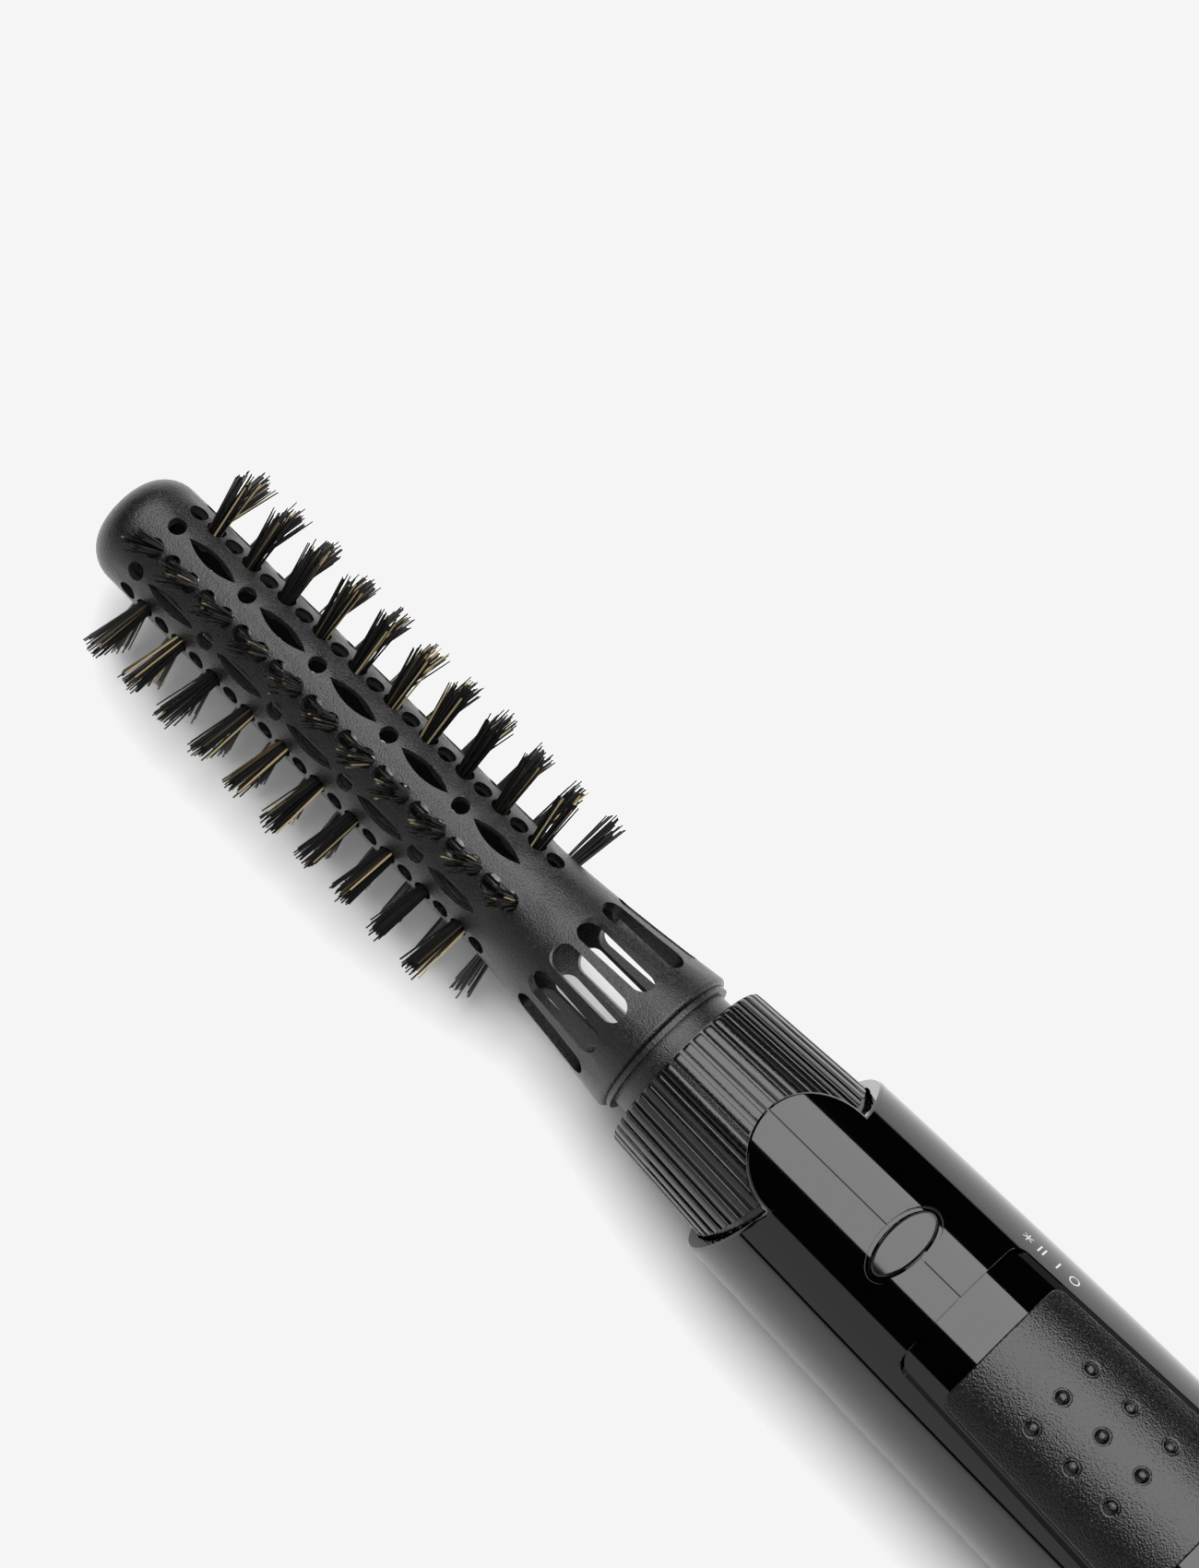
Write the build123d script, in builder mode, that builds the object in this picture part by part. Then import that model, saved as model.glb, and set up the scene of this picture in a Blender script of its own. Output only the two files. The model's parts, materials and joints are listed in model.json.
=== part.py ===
from build123d import *
import math
import os

os.makedirs("parts", exist_ok=True)

# A hot air brush: a vented brush head that plugs into a handle with heater, motor and fan.
# Millimetres. +X runs from the brush tip to the cord end, +Z is up with the switch on top,
# and the handle's seam lies in the XZ plane. A station is the distance behind the brush tip.

# ---------------------------------------------------------------------------
# Driving dimensions
# ---------------------------------------------------------------------------

# Lengths along the axis, one after the other
brush_length = 109.8        # tip to the rear face of the flare
collar_gap = 3.2            # stretch of neck that shows between flare and collar
collar_length = 18.9        # collar front to the handle's mouth, on the axis
handle_length = 160.3       # mouth, on the axis, to the tail face
gland_length = 10.0         # cord swivel behind the tail face

# Clearances
fit = 0.05                  # parts pushed together and kept together
running = 0.06              # shafts and pins that turn
sliding = 0.10              # the neck in the collar
open_gap = 0.3              # moving parts that must not touch

# Brush barrel
barrel_front_radius = 8.6
barrel_rear_radius = 9.3
barrel_wall = 1.3
tip_crown_radius = 22.0
tip_corner_radius = 5.3
tip_wall = 2.0
tip_pocket_radius = 5.4
flare_length = 27.6
flare_mid_setback = 14.8    # ahead of the flare's rear face
flare_mid_rise = 1.15       # over the barrel's rear radius
flare_step = 1.79           # flare's rim over the neck
flare_round = 1.6
slot_count = 12
slot_length = 13.8
slot_width = 4.0
slot_setback = 12.5         # slot's centre ahead of the flare's rear face

# Tufts and vents
tuft_tip_radius = 19.0      # 38 mm across the bristle tips
tuft_pitch = 7.11
tufts_in_long_row = 11
first_tuft = 10.2
first_row_angle = -19.5     # from the top, towards +Y
row_count = 6
tuft_base_width = 2.1
tuft_tip_width = 3.7
tuft_hole = 3.0
row_vent = 2.9
gap_vent = 2.7
leaf_length = 9.3
leaf_width = 2.4

# Wires that hold the tufts
wire_radius = 0.5
wire_circle = 6.2
carrier_bore = 4.8
carrier_thickness = 2.0
front_carrier_station = 6.2
rear_carrier_setback = 25.2 # ahead of the flare's rear face
rear_carrier_step = 0.35

# Neck and its seat in the barrel
neck_radius = 10.25
neck_wall = 1.25
neck_seat_depth = 4.6
neck_plug_length = 18.2     # how far the neck reaches into the collar
latch_groove_length = 2.2
latch_groove_depth = 0.6
latch_groove_setback = 1.3  # groove to the neck's rear end
key_width = 2.0
key_height = 0.8
key_length = 11.0

# Ribbed collar
collar_rim = 3.65           # collar's front edge over the neck
collar_draft = 1.1          # how much wider the collar is at the mouth
collar_round = 0.8
rib_count = 44
rib_groove_width = 0.6
rib_groove_depth = 0.45
rib_end_setback = 0.4       # rib ends ahead of the mouth, on the axis
rib_end_slant = 0.30
stop_ring_length = 1.5
stop_ring_step = 0.3        # stop ring's bore over the neck's
collar_tail = 8.6           # collar behind the mouth, on the axis
collar_flange_length = 1.5
collar_flange_height = 0.6
lever_channel_width = 4.6
lever_channel_gap = 0.6     # channel floor over the heater tube

# Handle shells
shell_wall = 1.9
mouth_gap = 0.27            # collar to shell, at the mouth
mouth_slant = 0.335
belly_setback = 73.1
belly_rise = 1.63           # belly over the mouth
front_swell = 1.5
tail_draw = 5.6             # belly over the tail
rear_swell = 2.0
tail_round = 2.2
lobe_radius = 9.25
lobe_setback = 4.5          # lobe's centre behind the mouth, on the axis
rim_bevel = 0.35
seam_width = 0.32
seam_depth = 0.45
outline_points = 9

# Release button and latch
button_setback = 20.6
button_length = 5.1
button_width = 11.4
button_gap = 0.3
button_proud = 0.5
button_round = 0.4
bezel_width = 0.6
bezel_depth = 0.35
button_foot_clear = 1.8     # foot's top over the stem's end
button_foot_height = 0.8
button_foot_length = 7.4
button_foot_width = 7.0
button_stem_radius = 1.4
lever_pivot_setback = 11.1
lever_pivot_rise = 1.1      # pivot over the arm's underside
lever_thickness = 3.8
lever_arm_height = 1.2
lever_arm_clear = 0.9       # arm over the channel's floor
lever_boss_radius = 1.9
lever_tail = 2.0
hook_length = 1.4
latch_pin_radius = 1.0
latch_pin_length = 13.0
pin_post_radius = 2.2
spring_wire_radius = 0.2
spring_turns = 3
spring_pitch = 0.5
spring_leg = 2.2

# Switch knob, in its shallow recess on top
recess_setback = 30.6
recess_length = 48.0
recess_front_width = 23.3
recess_rear_width = 27.2
recess_depth = 0.7
recess_corner = 2.0
plan_margin = 1.0           # of a curved band past the plan that trims it
knob_setback = 38.2
knob_length = 36.0
knob_front_width = 22.0
knob_rear_width = 24.8
knob_corner = 1.6
knob_edge_round = 0.3
knob_proud = 0.35
knob_travel = 7.2
bump_columns = 3
bump_column_step = 17.2
bump_rows = 3
bump_pitch = 7.05
bump_setback = 10.8
bump_radius = 1.2
bump_height = 0.45
dimple_radius = 2.6         # of the round hollow that each bump stands in
dimple_depth = 0.4
stem_setback = 9.9
stem_length = 4.0
stem_width = 3.6

# Switch and circuit board, above the heater
board_gap = 0.3             # board over the heater tube
board_thickness = 1.0
board_length = 20.0
board_width = 21.0
board_setback = 32.1
rail_height = 0.9
rail_width = 1.2
switch_length = 17.0
switch_width = 8.0
switch_height = 2.0
switch_setback = 38.1
switch_slot_depth = 1.2
peg_length = 1.8
peg_width = 1.8
carriage_length = 10.0
carriage_width = 10.0
carriage_height = 1.0
diode_radius = 0.9
diode_length = 4.0
diode_inset = 3.0
diode_pitch = 8.0

# Heater
heater_tube_step = 0.15     # heater tube over the neck
heater_tube_wall = 0.5
mica_thickness = 0.6
mica_margin = 0.5           # board's edge inside the coil
mica_end_length = 3.0
mica_inset = 1.5
coil_inset = 1.4            # coil inside the heater tube
coil_wire_radius = 0.3
coil_turns = 10
thermostat_length = 8.0
thermostat_width = 4.6
thermostat_height = 2.4
fuse_radius = 1.4
fuse_length = 9.0

# Air path and motor, counted forward from the tail face
intake_setback = 16.2
intake_length = 14.0
intake_slot_width = 1.9
intake_slot_count = 20
screen_gap = 1.5
screen_thickness = 1.0
screen_seat = 0.4
screen_hole = 2.0
screen_pitch = 3.0
screen_rings = 7            # holes along each side of the pattern
fan_gap = 1.5
fan_length = 9.0
fan_radius = 14.0
fan_hub_radius = 4.0
blade_count = 7
blade_angle = 35.0
blade_thickness = 1.1
motor_gap = 4.0
motor_length = 29.0
motor_radius = 10.5
motor_wall = 0.8
motor_nose_radius = 8.4     # opening in the mount ahead of the motor
end_cap_length = 3.0
shaft_radius = 1.0
magnet_gap = 1.0
magnet_thickness = 1.4
magnet_length = 18.0
magnet_span = 120.0
armature_radius = 7.6
armature_length = 14.0
armature_slots = 5
armature_slot_width = 1.6
commutator_radius = 2.6
commutator_length = 3.0
mount_gap = 0.32            # mount inside the shells, at the motor's rear face
mount_wall = 1.1
mount_hub_wall = 0.9
mount_lead = 6.0
mount_flange_length = 2.0
mount_flange_setback = 16.0
vane_count = 6
vane_thickness = 1.2
funnel_length = 20.0
funnel_socket = 4.0
funnel_wall = 1.1
shell_rib_length = 2.0

# Screws, from the right shell into the left
screw_shank_radius = 1.1
screw_head_radius = 2.2
screw_head_height = 1.6
screw_seat = 7.0            # head's underside, from the seam
screw_depth = 6.5           # thread past the seam
screw_post_radius = 2.6
front_screw_setback = 28.1
middle_screw_setback = 49.0
tail_screw_setback = 12.2   # ahead of the tail face
front_screw_drop = 3.0      # below the heater tube
tail_screw_height = 8.5

# Cord swivel
gland_flange_radius = 7.5
gland_flange_length = 2.0
gland_neck_radius = 6.0
gland_front_radius = 7.4
gland_rear_radius = 5.6
cord_bore_radius = 3.6
tail_wall = 4.1

# ---------------------------------------------------------------------------
# Stations and radii that follow from the dimensions
# ---------------------------------------------------------------------------

collar_front = brush_length + collar_gap
mouth = collar_front + collar_length
tail_end = mouth + handle_length
total_length = tail_end + gland_length
belly_station = mouth + belly_setback

flare_start = brush_length - flare_length
flare_mid_station = brush_length - flare_mid_setback
slot_centre = brush_length - slot_setback
rear_carrier_station = brush_length - rear_carrier_setback
flare_radius = neck_radius + flare_step
flare_mid_radius = barrel_rear_radius + flare_mid_rise
neck_bore = neck_radius - neck_wall
stop_ring_bore = neck_bore + stop_ring_step
collar_front_radius = neck_radius + collar_rim
collar_rear_radius = collar_front_radius + collar_draft
mouth_radius = collar_rear_radius + mouth_gap + shell_wall
belly_radius = mouth_radius + belly_rise
tail_radius = belly_radius - tail_draw
heater_tube_radius = neck_radius + heater_tube_step

neck_seat = brush_length - neck_seat_depth
neck_rear = collar_front + neck_plug_length
stop_front = neck_rear + open_gap
heater_front = stop_front + stop_ring_length
collar_rear = mouth + collar_tail

button_station = mouth + button_setback
pivot_station = mouth + lever_pivot_setback
recess_front = mouth + recess_setback
knob_front = mouth + knob_setback
stem_front = knob_front + stem_setback
board_front = mouth + board_setback
switch_front = mouth + switch_setback
board_height = heater_tube_radius + board_gap
board_top = board_height + board_thickness
switch_top = board_top + switch_height
carriage_low = switch_top + open_gap

lever_channel_floor = heater_tube_radius + lever_channel_gap
lever_arm_low = lever_channel_floor + lever_arm_clear
lever_arm_top = lever_arm_low + lever_arm_height
lever_pivot_height = lever_arm_low + lever_pivot_rise
stem_foot = lever_arm_top + open_gap
button_foot_top = stem_foot + button_foot_clear
front_screw_height = -(heater_tube_radius + front_screw_drop)

intake_rear = tail_end - intake_setback
intake_front = intake_rear - intake_length
screen_rear = intake_front - screen_gap
screen_front = screen_rear - screen_thickness
fan_rear = screen_front - fan_gap
fan_front = fan_rear - fan_length
motor_rear = fan_front - motor_gap
motor_front = motor_rear - motor_length
mount_front = motor_front - mount_lead
heater_rear = mount_front - funnel_length
flange_rear = tail_end - tail_wall - sliding
flange_front = flange_rear - gland_flange_length

row_step = 360.0 / row_count
lowest_tuft_angle = math.radians(180.0 - (first_row_angle + 3 * row_step))
tuft_drop = tuft_tip_radius * math.cos(lowest_tuft_angle)
tuft_drop += tuft_tip_width / 2 * abs(math.sin(lowest_tuft_angle))
axis_height = max(belly_radius, tuft_drop)
tip_x = -total_length / 2
reach = 2 * belly_radius    # further than any radius

side = Plane(origin=(tip_x, 0, axis_height), x_dir=(1, 0, 0), z_dir=(0, -1, 0))
long_axis = Axis((tip_x, 0, axis_height), (1, 0, 0))


def handle_radius(station):
    """Outer radius of the handle: it swells to the belly and draws in to the tail."""
    if station <= belly_station:
        share = (belly_station - station) / (belly_station - mouth)
        return belly_radius - (belly_radius - mouth_radius) * share ** front_swell
    share = (station - belly_station) / (tail_end - belly_station)
    return belly_radius - (belly_radius - tail_radius) * share ** rear_swell


# The handle narrows towards the tail, so the mount is tightest at the motor's rear face
mount_radius = handle_radius(motor_rear) - shell_wall - mount_gap


def across(station):
    """Plane square to the axis: local x is +Y and local y is +Z."""
    return Plane(origin=(tip_x + station, 0, axis_height), x_dir=(0, 1, 0), z_dir=(1, 0, 0))


def level(height):
    """Plane at a height above the axis: local x is the station and local y is +Y."""
    return Plane(origin=(tip_x, 0, axis_height + height), x_dir=(1, 0, 0), z_dir=(0, 0, 1))


def radial(station, angle, radius):
    """Plane that faces outwards, with the angle counted from the top towards +Y."""
    turn = math.radians(angle)
    outward = Vector(0, math.sin(turn), math.cos(turn))
    origin = Vector(tip_x + station, 0, axis_height) + outward * radius
    return Plane(origin=origin, x_dir=(1, 0, 0), z_dir=outward)


def turned(points, mode=Mode.ADD):
    """Turn a closed outline of (station, radius) points about the long axis."""
    with BuildSketch(side) as outline:
        with BuildLine():
            Polyline(*points, close=True)
        make_face()
    revolve(outline.sketch, axis=long_axis, mode=mode)


def ring(front, rear, outer, inner=0.0, mode=Mode.ADD):
    """A plain ring or disc on the long axis."""
    turned([(front, inner), (rear, inner), (rear, outer), (front, outer)], mode)


def block(front, rear, left, right, low, high, mode=Mode.ADD):
    """A box between two stations, two Y values and two heights above the axis."""
    with BuildSketch(level(low)) as foot:
        with Locations(((front + rear) / 2, (left + right) / 2)):
            Rectangle(rear - front, right - left)
    extrude(foot.sketch, amount=high - low, mode=mode)


def cross_bars(places, radius, near, far, mode=Mode.ADD):
    """Round bars along Y from y = near to y = far, at (station, height) places."""
    with BuildSketch(side.offset(-near)) as ends:
        with Locations(*places):
            Circle(radius)
    extrude(ends.sketch, amount=near - far, mode=mode)


def drill(places, radius, start, depth):
    """Round holes cut outwards at (station, angle) places."""
    with BuildSketch(*[radial(s, a, start) for s, a in places]) as mouths:
        Circle(radius)
    extrude(mouths.sketch, amount=depth, mode=Mode.SUBTRACT)


def handle_flank(offset, front, rear):
    """Side line of the handle between two stations, moved out by an offset."""
    step = (rear - front) / (outline_points - 1)
    stations = [front + step * i for i in range(outline_points)]
    return Spline(*[(s, handle_radius(s) + offset) for s in stations])


def handle_core(offset, front, rear, mode=Mode.ADD):
    """Solid inside the handle's skin, moved out by an offset, between two stations."""
    with BuildSketch(side) as outline:
        with BuildLine():
            over = handle_flank(offset, front, rear)
            Polyline(over @ 1, (rear, 0), (front, 0), over @ 0)
        make_face()
    revolve(outline.sketch, axis=long_axis, mode=mode)


def handle_band(low, high, front, rear, mode=Mode.ADD):
    """Solid between two offsets of the handle's skin."""
    with BuildSketch(side) as outline:
        with BuildLine():
            under = handle_flank(low, front, rear)
            over = handle_flank(high, front, rear)
            Line(under @ 0, over @ 0)
            Line(under @ 1, over @ 1)
        make_face()
    revolve(outline.sketch, axis=long_axis, mode=mode)


def plan_taper(front, rear, front_width, rear_width, corner):
    """Prism over a tapered plan with round corners, kept where it meets the part."""
    with BuildSketch(level(0)) as plan:
        with BuildLine():
            Polyline(
                (front, -front_width / 2),
                (rear, -rear_width / 2),
                (rear, rear_width / 2),
                (front, front_width / 2),
                close=True,
            )
        make_face()
        fillet(plan.vertices(), radius=corner)
    extrude(plan.sketch, amount=reach, mode=Mode.INTERSECT)


# ---------------------------------------------------------------------------
# Where tufts and vents sit
# ---------------------------------------------------------------------------

long_row = [first_tuft + tuft_pitch * i for i in range(tufts_in_long_row)]
short_row = [station + tuft_pitch / 2 for station in long_row[:-1]]
row_angles = [first_row_angle + row_step * k for k in range(row_count)]
tuft_rows = [long_row if k % 2 == 0 else short_row for k in range(row_count)]
vent_rows = [short_row if k % 2 == 0 else long_row for k in range(row_count)]
gap_angles = [angle + row_step / 2 for angle in row_angles]

tuft_places = [(s, row_angles[k]) for k in range(row_count) for s in tuft_rows[k]]
row_vent_places = [(s, row_angles[k]) for k in range(row_count) for s in vent_rows[k]]
gap_vent_places = [(s, angle) for angle in gap_angles for s in long_row[0:-1:2]]
leaf_places = [(s, angle) for angle in gap_angles for s in long_row[1::2]]

# ---------------------------------------------------------------------------
# Brush head
# ---------------------------------------------------------------------------

# The tip is a flat crown that runs into a round corner without a kink
corner_height = barrel_front_radius - tip_corner_radius
corner_depth = math.sqrt((tip_crown_radius - tip_corner_radius) ** 2 - corner_height ** 2)
corner_station = tip_crown_radius - corner_depth
crown_angle = math.degrees(math.atan2(corner_height, corner_depth))
socket_radius = neck_radius + fit
rear_bore = barrel_rear_radius - barrel_wall
carrier_seat_radius = rear_bore + rear_carrier_step

with BuildPart() as brush_barrel:
    with BuildSketch(side):
        with BuildLine():
            crown = CenterArc((tip_crown_radius, 0), tip_crown_radius, 180, -crown_angle)
            corner = CenterArc(
                (corner_station, corner_height), tip_corner_radius, 180 - crown_angle, crown_angle - 90
            )
            flank = Line(corner @ 1, (flare_start, barrel_rear_radius))
            ThreePointArc(
                flank @ 1, (flare_mid_station, flare_mid_radius), (brush_length - flare_round, flare_radius)
            )
            rim = CenterArc(
                (brush_length - flare_round, flare_radius - flare_round / 2), flare_round / 2, 90, -90
            )
            Polyline(
                rim @ 1,
                (brush_length, flare_radius - flare_round / 2),
                (brush_length, socket_radius),
                (neck_seat, socket_radius),
                (neck_seat, neck_bore),
                (rear_carrier_station, carrier_seat_radius),
                (rear_carrier_station, rear_bore),
                (front_carrier_station, barrel_front_radius - barrel_wall),
                (front_carrier_station, tip_pocket_radius),
                (tip_wall, tip_pocket_radius - tip_wall / 2),
                (tip_wall, 0),
                crown @ 0,
            )
        make_face()
    revolve(axis=long_axis)
    drill(tuft_places, tuft_hole / 2, wire_circle, neck_radius)
    drill(row_vent_places, row_vent / 2, wire_circle, neck_radius)
    drill(gap_vent_places, gap_vent / 2, wire_circle, neck_radius)
    with BuildSketch(*[radial(s, a, wire_circle) for s, a in leaf_places]):
        with BuildLine():
            ThreePointArc((-leaf_length / 2, 0), (0, leaf_width / 2), (leaf_length / 2, 0))
            ThreePointArc((leaf_length / 2, 0), (0, -leaf_width / 2), (-leaf_length / 2, 0))
        make_face()
    extrude(amount=neck_radius, mode=Mode.SUBTRACT)
    slot_angles = [first_row_angle + 360.0 / slot_count * k for k in range(slot_count)]
    with BuildSketch(*[radial(slot_centre, angle, wire_circle) for angle in slot_angles]):
        SlotOverall(slot_length, slot_width)
    extrude(amount=neck_radius, mode=Mode.SUBTRACT)
brush_barrel.part.label = "brush_barrel"
export_step(brush_barrel.part, "parts/brush_barrel.step")

# Tufts stand on the anchor wires and spread towards their tips
tuft_foot = wire_circle + wire_radius
for k in range(row_count):
    with BuildPart() as tuft_row:
        with Locations(*[radial(s, row_angles[k], tuft_foot) for s in tuft_rows[k]]):
            Cone(
                tuft_base_width / 2,
                tuft_tip_width / 2,
                tuft_tip_radius - tuft_foot,
                align=(Align.CENTER, Align.CENTER, Align.MIN),
            )
    tuft_row.part.label = f"tuft_row_{k + 1}"
    export_step(tuft_row.part, f"parts/tuft_row_{k + 1}.step")

rear_carrier_rear = rear_carrier_station + carrier_thickness
front_carrier_radius = barrel_front_radius - barrel_wall - fit
rear_carrier_radius = carrier_seat_radius - fit
wire_angles = [90 - angle for angle in row_angles]

with BuildPart() as anchor_wires:
    with BuildSketch(across(front_carrier_station)):
        for angle in wire_angles:
            with PolarLocations(wire_circle, 1, start_angle=angle):
                Circle(wire_radius)
    extrude(amount=rear_carrier_rear - front_carrier_station)
anchor_wires.part.label = "anchor_wires"
export_step(anchor_wires.part, "parts/anchor_wires.step")


def wire_carrier(station, outer):
    """Ring with one hole for each anchor wire."""
    with BuildPart() as carrier:
        ring(station, station + carrier_thickness, outer, carrier_bore)
        with BuildSketch(across(station)):
            for angle in wire_angles:
                with PolarLocations(wire_circle, 1, start_angle=angle):
                    Circle(wire_radius + fit)
        extrude(amount=carrier_thickness, mode=Mode.SUBTRACT)
    return carrier


front_wire_carrier = wire_carrier(front_carrier_station, front_carrier_radius)
front_wire_carrier.part.label = "front_wire_carrier"
export_step(front_wire_carrier.part, "parts/front_wire_carrier.step")

rear_wire_carrier = wire_carrier(rear_carrier_station, rear_carrier_radius)
rear_wire_carrier.part.label = "rear_wire_carrier"
export_step(rear_wire_carrier.part, "parts/rear_wire_carrier.step")

latch_groove_rear = neck_rear - latch_groove_setback
latch_groove_front = latch_groove_rear - latch_groove_length

with BuildPart() as brush_neck:
    ring(neck_seat, neck_rear, neck_radius, neck_bore)
    block(
        neck_rear - key_length, neck_rear, -key_width / 2, key_width / 2,
        -neck_radius - key_height, -(neck_radius + neck_bore) / 2,
    )
    groove_floor = neck_radius - latch_groove_depth
    ring(latch_groove_front, latch_groove_rear, reach, groove_floor, mode=Mode.SUBTRACT)
brush_neck.part.label = "brush_neck"
export_step(brush_neck.part, "parts/brush_neck.step")

# ---------------------------------------------------------------------------
# Ribbed collar
# ---------------------------------------------------------------------------

collar_bore = neck_radius + sliding
collar_core = (neck_radius + collar_front_radius) / 2
heater_socket = heater_tube_radius + fit
flange_front_station = collar_rear - collar_flange_length
collar_flange_radius = collar_rear_radius + mouth_gap + collar_flange_height
rib_floor_front = collar_front_radius - rib_groove_depth
rib_floor_rear = collar_rear_radius - rib_groove_depth
rib_rear = mouth - rib_end_setback

with BuildPart() as ribbed_collar:
    with BuildSketch(side):
        with BuildLine():
            nose = CenterArc(
                (collar_front + collar_round, collar_front_radius - collar_round), collar_round, 180, -90
            )
            Polyline(
                nose @ 1,
                (mouth, collar_rear_radius),
                (collar_rear, collar_rear_radius),
                (collar_rear, collar_core),
                (collar_front, collar_core),
                nose @ 0,
            )
        make_face()
    revolve(axis=long_axis)
    with BuildSketch(side):
        with BuildLine():
            Polyline(
                (rib_rear - rib_end_slant * reach, -reach),
                (rib_rear + rib_end_slant * reach, reach),
                (tail_end, reach),
                (tail_end, -reach),
                close=True,
            )
        make_face()
    extrude(amount=reach, both=True, mode=Mode.SUBTRACT)
    with BuildSketch(across(collar_front)):
        with PolarLocations(collar_rear_radius, rib_count):
            Rectangle(collar_rear_radius / 2, rib_groove_width)
    extrude(amount=collar_length + reach, mode=Mode.SUBTRACT)
    turned([
        (collar_front, collar_bore),
        (collar_front, rib_floor_front),
        (mouth, rib_floor_rear),
        (flange_front_station, rib_floor_rear),
        (flange_front_station, collar_flange_radius),
        (collar_rear, collar_flange_radius),
        (collar_rear, collar_bore),
    ])
    ring(collar_front, collar_rear, collar_bore, mode=Mode.SUBTRACT)
    ring(heater_front, collar_rear, heater_socket, mode=Mode.SUBTRACT)
    ring(stop_front, heater_front, collar_bore, stop_ring_bore)
    # Keyway that stops the neck from turning
    block(
        collar_front, stop_front, -key_width / 2 - sliding, key_width / 2 + sliding,
        -neck_radius - key_height - open_gap, -collar_bore / 2, mode=Mode.SUBTRACT,
    )
    # Channel for the latch lever, open through to the neck where the hook goes in
    channel_half = lever_channel_width / 2
    block(
        latch_groove_front - open_gap, stop_front, -channel_half, channel_half,
        collar_bore / 2, reach, mode=Mode.SUBTRACT,
    )
    block(
        latch_groove_front, collar_rear, -channel_half, channel_half,
        lever_channel_floor, reach, mode=Mode.SUBTRACT,
    )
ribbed_collar.part.label = "ribbed_collar"
export_step(ribbed_collar.part, "parts/ribbed_collar.step")

# ---------------------------------------------------------------------------
# Handle shells
# ---------------------------------------------------------------------------

lobe_centre = mouth + lobe_setback
skin_front = lobe_centre - 2 * lobe_radius
skin_rear = tail_end - tail_round
gland_rib_front = flange_front - sliding - shell_rib_length

# What is cut away ahead of the slanted mouth, all but the lobe over the collar
with BuildPart() as mouth_cut:
    with BuildSketch(side):
        with BuildLine():
            Polyline(
                (mouth - mouth_slant * reach, -reach),
                (mouth + mouth_slant * reach, reach),
                (0, reach),
                (0, -reach),
                close=True,
            )
        make_face()
    extrude(amount=reach, both=True)
    with BuildSketch(level(0)):
        with Locations((lobe_centre, 0)):
            Circle(lobe_radius)
            Rectangle(reach, 2 * lobe_radius, align=(Align.MIN, Align.CENTER))
    extrude(amount=2 * reach, mode=Mode.SUBTRACT)

# Shallow recess that the switch knob slides in
with BuildPart() as recess_cut:
    handle_band(
        -recess_depth, recess_depth, recess_front - plan_margin,
        recess_front + recess_length + plan_margin,
    )
    plan_taper(
        recess_front, recess_front + recess_length, recess_front_width, recess_rear_width, recess_corner
    )

# Sunk bezel round the release button
with BuildPart() as bezel_cut:
    handle_band(-bezel_depth, bezel_depth, button_station - button_length, button_station + button_length)
    bezel_margin = button_gap + bezel_width
    with BuildSketch(level(0)):
        with Locations((button_station, 0)):
            Ellipse(button_length / 2 + bezel_margin, button_width / 2 + bezel_margin)
    extrude(amount=reach, mode=Mode.INTERSECT)

# Fine groove along the seam
with BuildPart() as seam_cut:
    handle_band(-seam_depth, seam_depth, skin_front, skin_rear)
    block(0, total_length, -seam_width / 2, seam_width / 2, -reach, reach, mode=Mode.INTERSECT)

screw_places = [
    (mouth + front_screw_setback, front_screw_height),
    (mouth + middle_screw_setback, front_screw_height),
    (tail_end - tail_screw_setback, tail_screw_height),
    (tail_end - tail_screw_setback, -tail_screw_height),
]
pivot_place = [(pivot_station, lever_pivot_height)]
lever_half = lever_thickness / 2
spring_room = spring_turns * spring_pitch + 4 * spring_wire_radius
board_rear = board_front + board_length
rail_inner = board_width / 2 - rail_width

# Posts and rails inside the shells, trimmed to end within the wall
with BuildPart() as shell_posts:
    cross_bars(screw_places, screw_post_radius, -reach, reach)
    cross_bars(pivot_place, pin_post_radius, -reach, reach)
    for near, far in ((-reach, -rail_inner), (rail_inner, reach)):
        block(board_front, board_rear, near, far, board_top, board_top + rail_height)
        block(board_front, board_rear, near, far, board_height - rail_height, board_height)
    handle_core(-shell_wall / 2, skin_front, skin_rear, mode=Mode.INTERSECT)
    block(
        pivot_station - reach, pivot_station + pin_post_radius, -lever_half - open_gap,
        lever_half + open_gap + spring_room, 0, reach, mode=Mode.SUBTRACT,
    )
    cross_bars(
        pivot_place, latch_pin_radius, -latch_pin_length / 2, latch_pin_length / 2, mode=Mode.SUBTRACT
    )

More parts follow.
